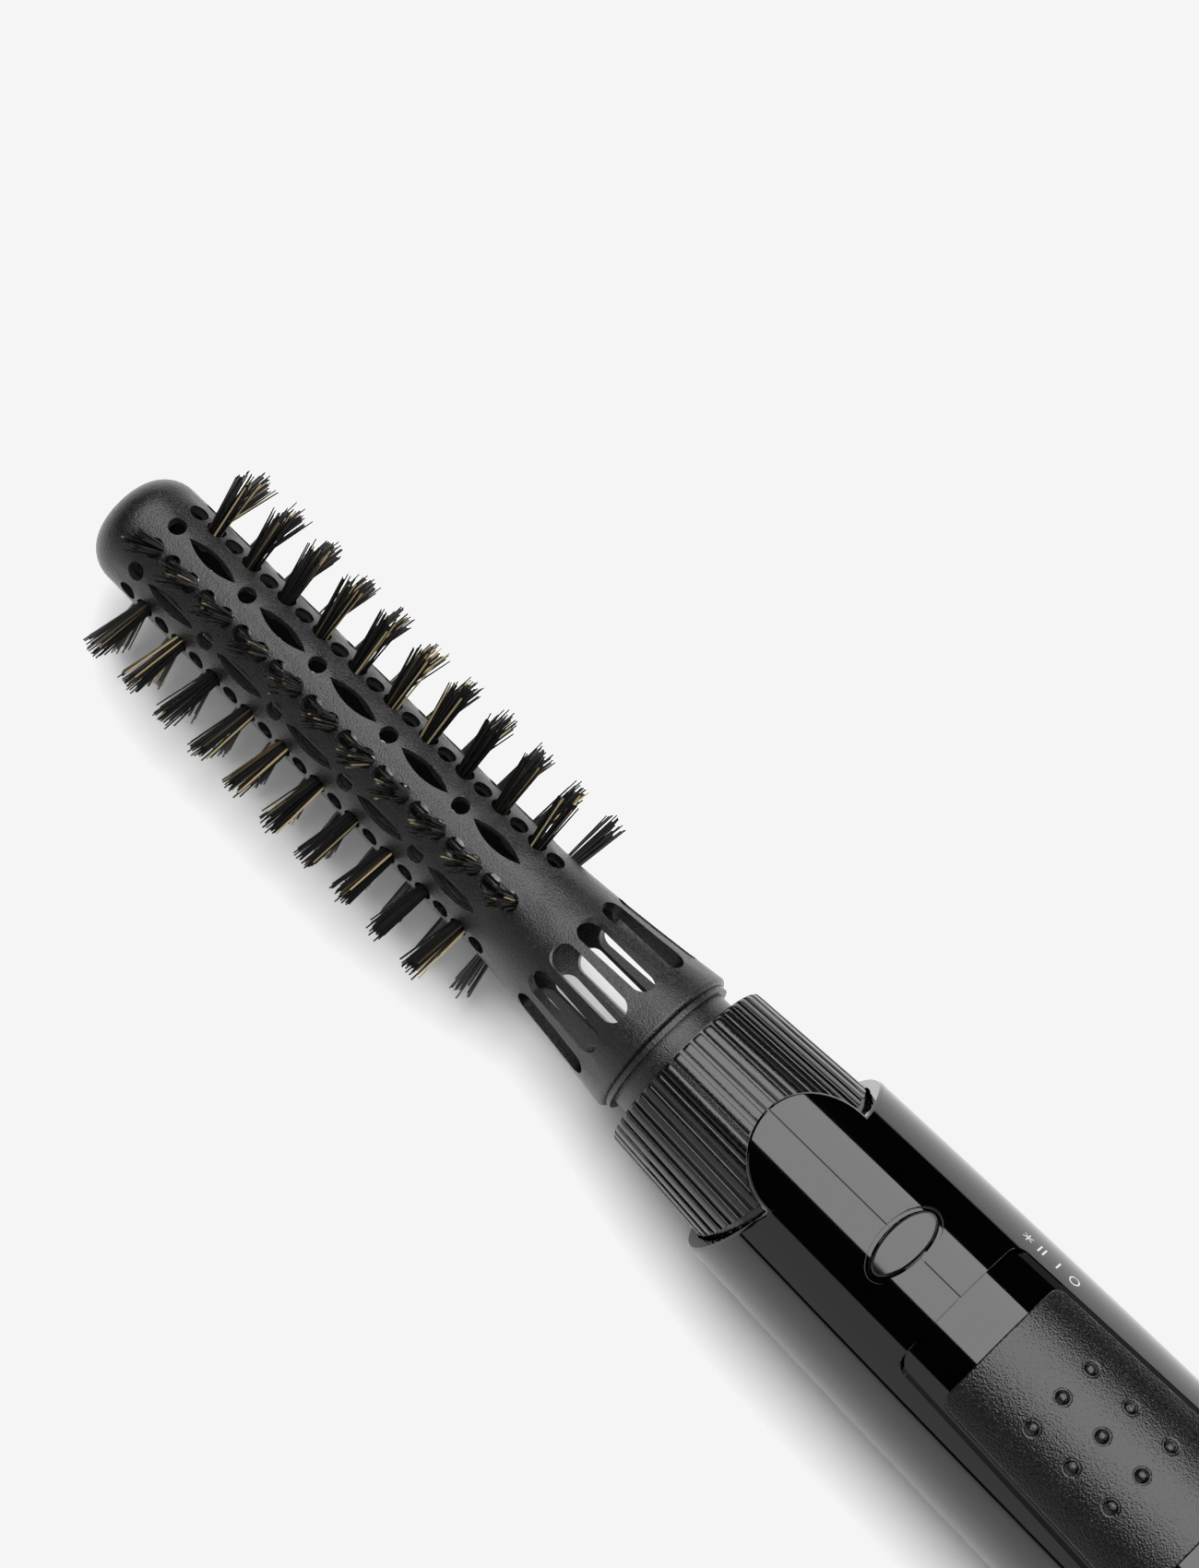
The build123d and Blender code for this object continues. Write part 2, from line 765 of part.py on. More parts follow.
with BuildPart() as housing:
    with BuildSketch(side):
        with BuildLine():
            flank = handle_flank(0, skin_front, skin_rear)
            tail_corner = TangentArc(
                flank @ 1, (tail_end, (flank @ 1).Y - tail_round), tangent=flank % 1
            )
            Polyline(tail_corner @ 1, (tail_end, 0), (skin_front, 0), flank @ 0)
        make_face()
    revolve(axis=long_axis)
    handle_core(-shell_wall, skin_front, gland_rib_front, mode=Mode.SUBTRACT)
    add(mouth_cut.part, mode=Mode.SUBTRACT)
    # The mouth's edge is bevelled, round the lobe and under the handle
    skin = max(housing.faces(), key=lambda face: face.area)
    rim = [edge for edge in skin.edges() if edge.center().X < tip_x + button_station]
    chamfer(rim, length=rim_bevel)
    # Groove and rib that hold the collar's flange
    ring(
        flange_front_station, collar_rear, collar_flange_radius + fit,
        collar_rear_radius / 2, mode=Mode.SUBTRACT,
    )
    ring(
        collar_rear, collar_rear + collar_flange_length / 2,
        collar_flange_radius + fit, collar_rear_radius,
    )
    add(shell_posts.part)
    add(recess_cut.part, mode=Mode.SUBTRACT)
    add(seam_cut.part, mode=Mode.SUBTRACT)
    # Ribs on both sides of the motor mount's flange
    mount_flange_front = motor_rear - mount_flange_setback
    mount_flange_rear = mount_flange_front + mount_flange_length
    mount_flange_radius = handle_radius(mount_flange_front) - shell_wall - open_gap
    rib_bore = mount_radius + fit
    for rib_front in (mount_flange_front - shell_rib_length, mount_flange_rear):
        rib_outer = handle_radius(rib_front) - shell_wall / 2
        ring(rib_front, rib_front + shell_rib_length, rib_outer, rib_bore)
    # Ribs on both sides of the inlet screen
    screen_radius = handle_radius(screen_rear) - shell_wall - fit
    for rib_front in (screen_front - screen_seat, screen_rear):
        rib_outer = handle_radius(rib_front) - shell_wall / 2
        ring(rib_front, rib_front + screen_seat, rib_outer, screen_radius - screen_seat)
    # Tail hole and the groove for the cord swivel's flange
    ring(gland_rib_front, tail_end, gland_neck_radius + sliding, mode=Mode.SUBTRACT)
    ring(
        flange_front - sliding, flange_rear + sliding, gland_flange_radius + sliding,
        mode=Mode.SUBTRACT,
    )
    # Button opening, with a sunk bezel round it
    add(bezel_cut.part, mode=Mode.SUBTRACT)
    with BuildSketch(level(0)):
        with Locations((button_station, 0)):
            Ellipse(button_length / 2 + button_gap, button_width / 2 + button_gap)
    extrude(amount=reach, mode=Mode.SUBTRACT)
    # Slot for the switch knob's stem
    block(
        stem_front - knob_travel - open_gap, stem_front + stem_length + open_gap,
        -stem_width / 2 - open_gap, stem_width / 2 + open_gap, board_top, reach,
        mode=Mode.SUBTRACT,
    )
    # Air intake slots round the tail, clear of the seam
    intake_step = 360.0 / intake_slot_count
    intake_middle = (intake_front + intake_rear) / 2
    with BuildSketch(*[
        radial(intake_middle, intake_step * (k + 0.5), gland_front_radius)
        for k in range(intake_slot_count)
    ]):
        SlotOverall(intake_length, intake_slot_width)
    extrude(amount=reach, mode=Mode.SUBTRACT)

with BuildPart() as left_shell:
    add(housing.part)
    split(bisect_by=Plane.XZ, keep=Keep.TOP)
    cross_bars(screw_places, screw_shank_radius, -screw_depth, 0, mode=Mode.SUBTRACT)
left_shell.part.label = "left_shell"
export_step(left_shell.part, "parts/left_shell.step")

with BuildPart() as right_shell:
    add(housing.part)
    split(bisect_by=Plane.XZ, keep=Keep.BOTTOM)
    cross_bars(screw_places, screw_shank_radius + fit, 0, reach, mode=Mode.SUBTRACT)
    cross_bars(screw_places, screw_head_radius + fit, screw_seat, reach, mode=Mode.SUBTRACT)
right_shell.part.label = "right_shell"
export_step(right_shell.part, "parts/right_shell.step")

with BuildPart() as case_screws:
    cross_bars(screw_places, screw_shank_radius, -screw_depth, screw_seat)
    cross_bars(screw_places, screw_head_radius, screw_seat, screw_seat + screw_head_height)
case_screws.part.label = "case_screws"
export_step(case_screws.part, "parts/case_screws.step")

# ---------------------------------------------------------------------------
# Release button and latch
# ---------------------------------------------------------------------------

with BuildPart() as release_button:
    with BuildSketch(level(button_foot_top)):
        with Locations((button_station, 0)):
            Ellipse(button_length / 2, button_width / 2)
    extrude(amount=reach)
    handle_core(
        button_proud, button_station - button_width, button_station + button_width, mode=Mode.INTERSECT
    )
    fillet(release_button.faces().sort_by(Axis.Z)[-1].edges(), radius=button_round)
    block(
        button_station - button_foot_length / 2, button_station + button_foot_length / 2,
        -button_foot_width / 2, button_foot_width / 2,
        button_foot_top - button_foot_height, button_foot_top,
    )
    with BuildSketch(level(stem_foot)):
        with Locations((button_station, 0)):
            Circle(button_stem_radius)
    extrude(amount=button_foot_top - stem_foot)
release_button.part.label = "release_button"
export_step(release_button.part, "parts/release_button.step")

hook_front = latch_groove_front + (latch_groove_length - hook_length) / 2
hook_foot = collar_bore + sliding

with BuildPart() as latch_lever:
    block(
        hook_front, button_station + lever_tail, -lever_half, lever_half, lever_arm_low, lever_arm_top
    )
    block(hook_front, hook_front + hook_length, -lever_half, lever_half, hook_foot, lever_arm_top)
    cross_bars(pivot_place, lever_boss_radius, -lever_half, lever_half)
    cross_bars(pivot_place, latch_pin_radius + running, -lever_half, lever_half, mode=Mode.SUBTRACT)
latch_lever.part.label = "latch_lever"
export_step(latch_lever.part, "parts/latch_lever.step")

with BuildPart() as latch_pin:
    cross_bars(pivot_place, latch_pin_radius, -latch_pin_length / 2, latch_pin_length / 2)
latch_pin.part.label = "latch_pin"
export_step(latch_pin.part, "parts/latch_pin.step")

# Torsion spring beside the lever: a short coil round the pin with two straight legs
coil_start = lever_half + open_gap + spring_wire_radius
spring_mean_radius = latch_pin_radius + running + 2 * spring_wire_radius
spring_height = spring_turns * spring_pitch
pivot_point = Vector(tip_x + pivot_station, 0, axis_height + lever_pivot_height)

with BuildPart() as latch_spring:
    with BuildLine() as coil_line:
        coil = Helix(
            pitch=spring_pitch,
            height=spring_height,
            radius=spring_mean_radius,
            center=pivot_point + Vector(0, coil_start, 0),
            direction=(0, 1, 0),
        )
    with BuildSketch(Plane(origin=coil @ 0, z_dir=coil % 0)):
        Circle(spring_wire_radius)
    sweep(path=coil_line.line, is_frenet=True)
    for end, along in ((coil @ 0, coil % 0 * -1), (coil @ 1, coil % 1)):
        with BuildSketch(Plane(origin=end, z_dir=along)):
            Circle(spring_wire_radius)
        extrude(amount=spring_leg)
latch_spring.part.label = "latch_spring"
export_step(latch_spring.part, "parts/latch_spring.step")

# ---------------------------------------------------------------------------
# Switch knob, carriage, switch and circuit board
# ---------------------------------------------------------------------------

carriage_top = carriage_low + carriage_height
knob_under = -recess_depth + open_gap

lookout = (tip_x + knob_front + knob_length / 2, 0, axis_height + reach)
bump_places = []
for row in range(bump_rows):
    bump_station = knob_front + bump_setback + row * bump_pitch
    for column in range(bump_columns):
        bump_angle = (column - (bump_columns - 1) / 2) * bump_column_step
        bump_places.append((bump_station, bump_angle, handle_radius(bump_station)))

with BuildPart() as switch_knob:
    handle_band(
        knob_under, knob_proud, knob_front - plan_margin, knob_front + knob_length + plan_margin
    )
    plan_taper(knob_front, knob_front + knob_length, knob_front_width, knob_rear_width, knob_corner)
    block(
        stem_front, stem_front + stem_length, -stem_width / 2, stem_width / 2,
        carriage_top, handle_radius(stem_front) + (knob_under + knob_proud) / 2,
    )
    knob_top = switch_knob.faces().sort_by(lambda f: f.distance_to(lookout))[0]
    fillet(knob_top.edges(), radius=knob_edge_round)
    dimple_rise = knob_proud - dimple_depth + dimple_radius
    with Locations(*[radial(s, a, r + dimple_rise) for s, a, r in bump_places]):
        Sphere(dimple_radius, mode=Mode.SUBTRACT)
    bump_rise = knob_proud + bump_height - bump_radius
    with Locations(*[radial(s, a, r + bump_rise) for s, a, r in bump_places]):
        Sphere(bump_radius, arc_size1=0, align=(Align.CENTER, Align.CENTER, Align.MIN))
switch_knob.part.label = "switch_knob"
export_step(switch_knob.part, "parts/switch_knob.step")

peg_front = stem_front + (stem_length - peg_length) / 2
peg_foot = switch_top - switch_slot_depth + open_gap

with BuildPart() as switch_carriage:
    carriage_front = stem_front + (stem_length - carriage_length) / 2
    block(
        carriage_front, carriage_front + carriage_length,
        -carriage_width / 2, carriage_width / 2, carriage_low, carriage_top,
    )
    block(peg_front, peg_front + peg_length, -peg_width / 2, peg_width / 2, peg_foot, carriage_low)
switch_carriage.part.label = "switch_carriage"
export_step(switch_carriage.part, "parts/switch_carriage.step")

with BuildPart() as slide_switch:
    block(
        switch_front, switch_front + switch_length, -switch_width / 2, switch_width / 2,
        board_top, switch_top,
    )
    block(
        peg_front - knob_travel - open_gap, peg_front + peg_length + open_gap,
        -peg_width / 2 - open_gap, peg_width / 2 + open_gap,
        switch_top - switch_slot_depth, switch_top, mode=Mode.SUBTRACT,
    )
slide_switch.part.label = "slide_switch"
export_step(slide_switch.part, "parts/slide_switch.step")

with BuildPart() as circuit_board:
    block(board_front, board_rear, -board_width / 2, board_width / 2, board_height, board_top)
circuit_board.part.label = "circuit_board"
export_step(circuit_board.part, "parts/circuit_board.step")

# Four diodes of the motor's rectifier, beside the switch
diode_side = (switch_width / 2 + rail_inner) / 2

with BuildPart() as rectifier_diodes:
    for row in range(2):
        diode_front = board_front + diode_inset + row * diode_pitch
        for centre in (-diode_side, diode_side):
            with BuildSketch(across(diode_front)):
                with Locations((centre, board_top + diode_radius)):
                    Circle(diode_radius)
            extrude(amount=diode_length)
rectifier_diodes.part.label = "rectifier_diodes"
export_step(rectifier_diodes.part, "parts/rectifier_diodes.step")

# ---------------------------------------------------------------------------
# Heater
# ---------------------------------------------------------------------------

heater_tube_bore = heater_tube_radius - heater_tube_wall
mica_front = heater_front + mica_inset
mica_rear = heater_rear - mica_inset
mica_middle = (mica_front + mica_rear) / 2
mica_end_half = heater_tube_bore - fit
mica_half = mica_thickness / 2
coil_radius = heater_tube_radius - coil_inset
mica_width = 2 * (coil_radius - mica_margin)

with BuildPart() as heater_tube:
    ring(heater_front, heater_rear, heater_tube_radius, heater_tube_bore)
heater_tube.part.label = "heater_tube"
export_step(heater_tube.part, "parts/heater_tube.step")


def mica_board(plane, notch_front, notch_rear):
    """Long board with wide ends and a notch to its middle, so two boards cross."""
    with BuildPart() as board:
        with BuildSketch(plane):
            with Locations((mica_middle, 0)):
                Rectangle(mica_rear - mica_front, mica_width)
            for station in (mica_front, mica_rear - mica_end_length):
                with Locations((station + mica_end_length / 2, 0)):
                    Rectangle(mica_end_length, 2 * mica_end_half)
            with Locations(((notch_front + notch_rear) / 2, 0)):
                Rectangle(notch_rear - notch_front, mica_thickness + 2 * fit, mode=Mode.SUBTRACT)
        extrude(amount=mica_half, both=True)
    return board


upright_mica_board = mica_board(side, mica_front, mica_middle)
upright_mica_board.part.label = "upright_mica_board"
export_step(upright_mica_board.part, "parts/upright_mica_board.step")

level_mica_board = mica_board(level(0), mica_middle, mica_rear)
level_mica_board.part.label = "level_mica_board"
export_step(level_mica_board.part, "parts/level_mica_board.step")

heater_coil_front = mica_front + mica_end_length + 2 * coil_wire_radius
heater_coil_rear = mica_rear - mica_end_length - 2 * coil_wire_radius
coil_length = heater_coil_rear - heater_coil_front

with BuildPart() as heater_coil:
    with BuildLine() as winding:
        wind = Helix(
            pitch=coil_length / coil_turns,
            height=coil_length,
            radius=coil_radius,
            center=(tip_x + heater_coil_front, 0, axis_height),
            direction=(1, 0, 0),
        )
    with BuildSketch(Plane(origin=wind @ 0, z_dir=wind % 0)):
        Circle(coil_wire_radius)
    sweep(path=winding.line, is_frenet=True)
heater_coil.part.label = "heater_coil"
export_step(heater_coil.part, "parts/heater_coil.step")

with BuildPart() as thermostat:
    block(
        mica_rear - mica_end_length - thermostat_length, mica_rear - mica_end_length,
        mica_half + fit, mica_half + fit + thermostat_width, mica_half, mica_half + thermostat_height,
    )
thermostat.part.label = "thermostat"
export_step(thermostat.part, "parts/thermostat.step")

with BuildPart() as thermal_fuse:
    with BuildSketch(across(mica_rear - mica_end_length - fuse_length)):
        with Locations((-mica_width / 4, mica_half + fuse_radius)):
            Circle(fuse_radius)
    extrude(amount=fuse_length)
thermal_fuse.part.label = "thermal_fuse"
export_step(thermal_fuse.part, "parts/thermal_fuse.step")

# ---------------------------------------------------------------------------
# Air path, motor and fan
# ---------------------------------------------------------------------------

mount_bore = mount_radius - mount_wall
hub_bore = motor_radius + fit
hub_radius = hub_bore + mount_hub_wall
funnel_throat = heater_rear - funnel_socket
throat_radius = heater_socket + funnel_wall

with BuildPart() as air_funnel:
    turned([
        (funnel_throat, heater_socket),
        (funnel_throat, throat_radius),
        (heater_rear, throat_radius),
        (mount_front - funnel_socket, mount_radius),
        (mount_front, mount_radius),
        (mount_front, mount_bore),
        (mount_front - funnel_socket, mount_bore),
        (heater_rear, heater_tube_bore),
        (heater_rear, heater_socket),
    ])
air_funnel.part.label = "air_funnel"
export_step(air_funnel.part, "parts/air_funnel.step")

with BuildPart() as motor_mount:
    ring(mount_front, motor_rear, mount_radius, mount_bore)
    ring(mount_flange_front, mount_flange_rear, mount_flange_radius, mount_bore)
    ring(motor_front, motor_rear, hub_radius, hub_bore)
    ring(motor_front - mount_hub_wall, motor_front, hub_radius, motor_nose_radius)
    with BuildSketch(across(motor_front)):
        with PolarLocations((hub_radius + mount_bore) / 2, vane_count, start_angle=90.0 / vane_count):
            Rectangle(mount_bore - hub_radius + mount_hub_wall, vane_thickness)
    extrude(amount=motor_length)
motor_mount.part.label = "motor_mount"
export_step(motor_mount.part, "parts/motor_mount.step")

cap_front = motor_rear - end_cap_length
can_bore = motor_radius - motor_wall
shaft_bore = shaft_radius + running

with BuildPart() as motor_can:
    ring(motor_front, cap_front, motor_radius, can_bore)
    ring(motor_front, motor_front + 2 * motor_wall, motor_radius, shaft_bore)
motor_can.part.label = "motor_can"
export_step(motor_can.part, "parts/motor_can.step")

with BuildPart() as motor_end_cap:
    ring(cap_front, motor_rear, motor_radius, shaft_bore)
motor_end_cap.part.label = "motor_end_cap"
export_step(motor_end_cap.part, "parts/motor_end_cap.step")

magnet_front = motor_front + 2 * motor_wall + magnet_gap
armature_front = magnet_front + (magnet_length - armature_length) / 2

with BuildPart() as motor_magnets:
    for height in (can_bore - magnet_thickness / 2, magnet_thickness / 2 - can_bore):
        with BuildSketch(side):
            with Locations((magnet_front + magnet_length / 2, height)):
                Rectangle(magnet_length, magnet_thickness)
        revolve(axis=long_axis, revolution_arc=magnet_span)
motor_magnets.part.label = "motor_magnets"
export_step(motor_magnets.part, "parts/motor_magnets.step")

with BuildPart() as armature:
    ring(armature_front, armature_front + armature_length, armature_radius, shaft_radius)
    with BuildSketch(across(armature_front)):
        with PolarLocations(armature_radius, armature_slots):
            Rectangle(armature_radius, armature_slot_width)
    extrude(amount=armature_length, mode=Mode.SUBTRACT)
armature.part.label = "armature"
export_step(armature.part, "parts/armature.step")

commutator_front = armature_front + armature_length + commutator_length

with BuildPart() as commutator:
    ring(commutator_front, commutator_front + commutator_length, commutator_radius, shaft_radius)
commutator.part.label = "commutator"
export_step(commutator.part, "parts/commutator.step")

with BuildPart() as motor_shaft:
    ring(motor_front - shaft_radius, fan_rear, shaft_radius)
motor_shaft.part.label = "motor_shaft"
export_step(motor_shaft.part, "parts/motor_shaft.step")

with BuildPart() as fan:
    blade_start = shaft_radius + fit
    with BuildSketch(*[
        radial((fan_front + fan_rear) / 2, 360.0 / blade_count * k, blade_start)
        for k in range(blade_count)
    ]):
        Rectangle(fan_length, blade_thickness, rotation=blade_angle)
    extrude(amount=fan_radius)
    ring(fan_front, fan_rear, fan_radius, mode=Mode.INTERSECT)
    ring(fan_front, fan_rear, fan_hub_radius)
    ring(fan_front, fan_rear, shaft_radius, mode=Mode.SUBTRACT)
fan.part.label = "fan"
export_step(fan.part, "parts/fan.step")

with BuildPart() as inlet_screen:
    ring(screen_front, screen_rear, screen_radius)
    with BuildSketch(across(screen_front)):
        with HexLocations(screen_pitch / math.sqrt(3), screen_rings, screen_rings):
            Circle(screen_hole / 2)
    extrude(amount=screen_thickness, mode=Mode.SUBTRACT)
inlet_screen.part.label = "inlet_screen"
export_step(inlet_screen.part, "parts/inlet_screen.step")

# ---------------------------------------------------------------------------
# Cord swivel
# ---------------------------------------------------------------------------

with BuildPart() as cord_swivel:
    turned([
        (flange_front, cord_bore_radius),
        (flange_front, gland_flange_radius),
        (flange_rear, gland_flange_radius),
        (flange_rear, gland_neck_radius),
        (tail_end + open_gap, gland_neck_radius),
        (tail_end + open_gap, gland_front_radius),
        (total_length, gland_rear_radius),
        (total_length, cord_bore_radius),
    ])
cord_swivel.part.label = "cord_swivel"
export_step(cord_swivel.part, "parts/cord_swivel.step")
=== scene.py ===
# %% [markdown]
# # A hot air brush, dressed in Blender
#
# The imported CAD model is a fixed frame: every piece built here sits where the CAD says, and
# rides on the CAD body that carries it. Places are read from the frame's boxes and meshes. Only
# the camera, the lamps, the ribs' proportions and the printed marks are given as numbers.

# %% Load the frame
import json
import math

import bmesh
import bpy
import numpy as np
from mathutils import Matrix, Vector
from mathutils.bvhtree import BVHTree


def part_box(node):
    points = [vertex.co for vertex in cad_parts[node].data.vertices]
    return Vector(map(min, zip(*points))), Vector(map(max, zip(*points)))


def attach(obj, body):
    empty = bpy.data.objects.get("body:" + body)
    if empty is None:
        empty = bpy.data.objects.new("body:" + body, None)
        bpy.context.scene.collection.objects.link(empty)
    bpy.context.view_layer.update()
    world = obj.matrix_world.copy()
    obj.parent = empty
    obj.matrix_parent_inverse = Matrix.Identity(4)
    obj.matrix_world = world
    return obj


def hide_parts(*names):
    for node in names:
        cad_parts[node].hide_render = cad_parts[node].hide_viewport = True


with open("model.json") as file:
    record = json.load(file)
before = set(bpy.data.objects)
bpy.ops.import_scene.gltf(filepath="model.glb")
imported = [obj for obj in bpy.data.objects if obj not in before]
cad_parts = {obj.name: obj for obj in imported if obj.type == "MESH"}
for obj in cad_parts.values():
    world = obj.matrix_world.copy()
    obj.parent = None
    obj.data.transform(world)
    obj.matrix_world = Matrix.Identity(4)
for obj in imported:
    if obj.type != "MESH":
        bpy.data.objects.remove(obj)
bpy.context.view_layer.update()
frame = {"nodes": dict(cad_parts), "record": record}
nodes = frame["nodes"]
MM = 0.001

# %% [markdown]
# ## Where things are
#
# The long axis runs through the motor shaft. Stations are counted from the brush tip, so a
# place on the brush reads the same here as on a drawing of the real thing.

# %% The long axis
tip_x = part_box("brush_barrel")[0].x
shaft_low, shaft_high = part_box("motor_shaft")
axis_y = (shaft_low.y + shaft_high.y) / 2
axis_z = (shaft_low.z + shaft_high.z) / 2


def on_skin(station, angle, radius):
    """Point at a station and radius in mm, with the angle in degrees from the top towards +Y."""
    turn = math.radians(angle)
    return Vector((
        tip_x + station * MM,
        axis_y + radius * MM * math.sin(turn),
        axis_z + radius * MM * math.cos(turn),
    ))


def outward(angle):
    """Unit vector away from the long axis at that angle."""
    return Vector((0, math.sin(math.radians(angle)), math.cos(math.radians(angle))))


print("axis height in mm", round(axis_z / MM, 2))

# %% [markdown]
# ## Camera
#
# A long lens a good half metre above the brush gives the flat, catalogue-like view, and a
# turned camera lays the brush from corner to corner.

# %% Camera
CAMERA_PLACE = Vector((0.0428, -0.1227, 0.5836))
CAMERA_AZIMUTH = 39.575
CAMERA_ELEVATION = 71.875
CAMERA_ROLL = 6.332
CAMERA_LENS = 98.0


def camera_turn(azimuth, elevation, roll):
    """Rotation of a camera that looks back along azimuth and elevation, rolled about its view."""
    a, e, r = (math.radians(v) for v in (azimuth, elevation, roll))
    back = Vector((math.sin(a) * math.cos(e), -math.cos(a) * math.cos(e), math.sin(e)))
    right = Vector((0, 0, 1)).cross(back).normalized()
    up = back.cross(right)
    turned_right = right * math.cos(r) + up * math.sin(r)
    turned_up = up * math.cos(r) - right * math.sin(r)
    return Matrix((turned_right, turned_up, back)).transposed()


camera_data = bpy.data.cameras.new("camera")
camera_data.lens = CAMERA_LENS
camera_data.sensor_width = 36.0
camera_data.clip_start = 0.01
camera_data.clip_end = 20.0
camera = bpy.data.objects.new("camera", camera_data)
bpy.context.scene.collection.objects.link(camera)
turn = camera_turn(CAMERA_AZIMUTH, CAMERA_ELEVATION, CAMERA_ROLL)
camera.matrix_world = Matrix.Translation(CAMERA_PLACE) @ turn.to_4x4()
bpy.context.scene.camera = camera
print("camera back", [round(v, 4) for v in turn.col[2]], "right", [round(v, 4) for v in turn.col[0]])

# %% [markdown]
# ## Light and floor
#
# Gloss black shows nothing but its lights, so the lamps are large soft boxes placed by the
# reflections they have to make: one wide box overhead for the grey band along the top. A weak
# one low on the left adds a little to the side, where most of the light is the floor's own.

# %% Lamps


def soft_box(name, angle, distance, width, length, power):
    """Area lamp that faces the long axis, at an angle from the zenith towards +Y."""
    data = bpy.data.lights.new(name, "AREA")
    data.shape = "RECTANGLE"
    data.size = length
    data.size_y = width
    data.energy = power
    lamp = bpy.data.objects.new(name, data)
    bpy.context.scene.collection.objects.link(lamp)
    away = outward(angle)
    along = Vector((1, 0, 0))
    facing = Matrix((along, away.cross(along), away)).transposed()
    lamp.matrix_world = Matrix.Translation(away * distance) @ facing.to_4x4()


soft_box("top_box", angle=15.0, distance=1.3, width=1.62, length=1.9, power=54.0)
soft_box("side_box", angle=-69.0, distance=1.3, width=0.845, length=2.2, power=5.5)

# %% World: pale to the camera, dim grey to everything else
BACKDROP_GREY = 0.93
FILL_GREY = 0.5
FILL_STRENGTH = 0.012
PAPER_WHITE = 0.913
world = bpy.data.worlds.new("studio")
bpy.context.scene.world = world
world.use_nodes = True
world_tree = world.node_tree
world_tree.nodes.clear()
sky_out = world_tree.nodes.new("ShaderNodeOutputWorld")
sky_mix = world_tree.nodes.new("ShaderNodeMixShader")
sky_path = world_tree.nodes.new("ShaderNodeLightPath")
seen = world_tree.nodes.new("ShaderNodeBackground")
unseen = world_tree.nodes.new("ShaderNodeBackground")
seen.inputs["Color"].default_value = (BACKDROP_GREY,) * 3 + (1,)
unseen.inputs["Color"].default_value = (FILL_GREY,) * 3 + (1,)
unseen.inputs["Strength"].default_value = FILL_STRENGTH
world_tree.links.new(sky_path.outputs["Is Camera Ray"], sky_mix.inputs["Fac"])
world_tree.links.new(unseen.outputs["Background"], sky_mix.inputs[1])
world_tree.links.new(seen.outputs["Background"], sky_mix.inputs[2])
world_tree.links.new(sky_mix.outputs["Shader"], sky_out.inputs["Surface"])
view = bpy.context.scene.view_settings
view.view_transform = "Standard"
# The floor is lit past white, and the tone curve holds white just under paper white
view.use_curve_mapping = True
tone_curve = view.curve_mapping
tone_curve.extend = "HORIZONTAL"
tone_curve.curves[3].points[-1].location = (1.0, PAPER_WHITE)
tone_curve.update()

# %% Floor
HALF_FLOOR = 3.0
floor_mesh = bpy.data.meshes.new("floor")
floor_mesh.from_pydata(
    [(-HALF_FLOOR, -HALF_FLOOR, 0), (HALF_FLOOR, -HALF_FLOOR, 0),
     (HALF_FLOOR, HALF_FLOOR, 0), (-HALF_FLOOR, HALF_FLOOR, 0)],
    [], [(0, 1, 2, 3)],
)
floor = bpy.data.objects.new("floor", floor_mesh)
bpy.context.scene.collection.objects.link(floor)

# %% [markdown]
# ## Materials
#
# Moulded plastic is never perfectly even: its gloss wanders a little, and a textured mould
# leaves a grain. Two shader groups carry those effects, and each plastic sets its own sizes.

# %% Node helpers


def add_node(tree, kind, **values):
    """New node with some of its input sockets set by name."""
    node = tree.nodes.new(kind)
    for key, value in values.items():
        node.inputs[key.replace("_", " ")].default_value = value
    return node


def make_group(name, inputs, outputs):
    """Empty shader group with float inputs and typed outputs."""
    group = bpy.data.node_groups.new(name, "ShaderNodeTree")
    for label, default in inputs:
        socket = group.interface.new_socket(label, in_out="INPUT", socket_type="NodeSocketFloat")
        socket.default_value = default
    for label, kind in outputs:
        group.interface.new_socket(label, in_out="OUTPUT", socket_type=kind)
    return group, group.nodes.new("NodeGroupInput"), group.nodes.new("NodeGroupOutput")


# %% Group: mould grain, a fine bump with a matching change of gloss
DOME_DEPTH = 5 * MM         # of the barrel's closed tip
grain_group, grain_in, grain_out = make_group(
    "mould_grain",
    [
        ("Size mm", 0.4), ("Height mm", 0.03), ("Pebble", 0.0), ("Gloss low", 0.4), ("Gloss high", 0.6),
        ("Bore radius mm", 0.0),
    ],
    [("Normal", "NodeSocketVector"), ("Roughness", "NodeSocketFloat"), ("Mask", "NodeSocketFloat")],
)
link = grain_group.links.new
grain_place = grain_group.nodes.new("ShaderNodeTexCoord")
grain_scale = grain_group.nodes.new("ShaderNodeMath")
grain_scale.operation = "DIVIDE"
grain_scale.inputs[0].default_value = 1000.0
link(grain_in.outputs["Size mm"], grain_scale.inputs[1])
grain_noise = add_node(grain_group, "ShaderNodeTexNoise", Detail=1.5, Roughness=0.6)
grain_cells = grain_group.nodes.new("ShaderNodeTexVoronoi")
grain_cells.feature = "SMOOTH_F1"
grain_cells.inputs["Smoothness"].default_value = 0.6
for texture in (grain_noise, grain_cells):
    link(grain_place.outputs["Object"], texture.inputs["Vector"])
    link(grain_scale.outputs["Value"], texture.inputs["Scale"])
grain_pick = grain_group.nodes.new("ShaderNodeMix")
link(grain_in.outputs["Pebble"], grain_pick.inputs["Factor"])
link(grain_noise.outputs["Fac"], grain_pick.inputs["A"])
link(grain_cells.outputs["Distance"], grain_pick.inputs["B"])
grain_depth = grain_group.nodes.new("ShaderNodeMath")
grain_depth.operation = "DIVIDE"
grain_depth.inputs[1].default_value = 1000.0
link(grain_in.outputs["Height mm"], grain_depth.inputs[0])
grain_bump = add_node(grain_group, "ShaderNodeBump", Strength=1.0)
link(grain_depth.outputs["Value"], grain_bump.inputs["Distance"])
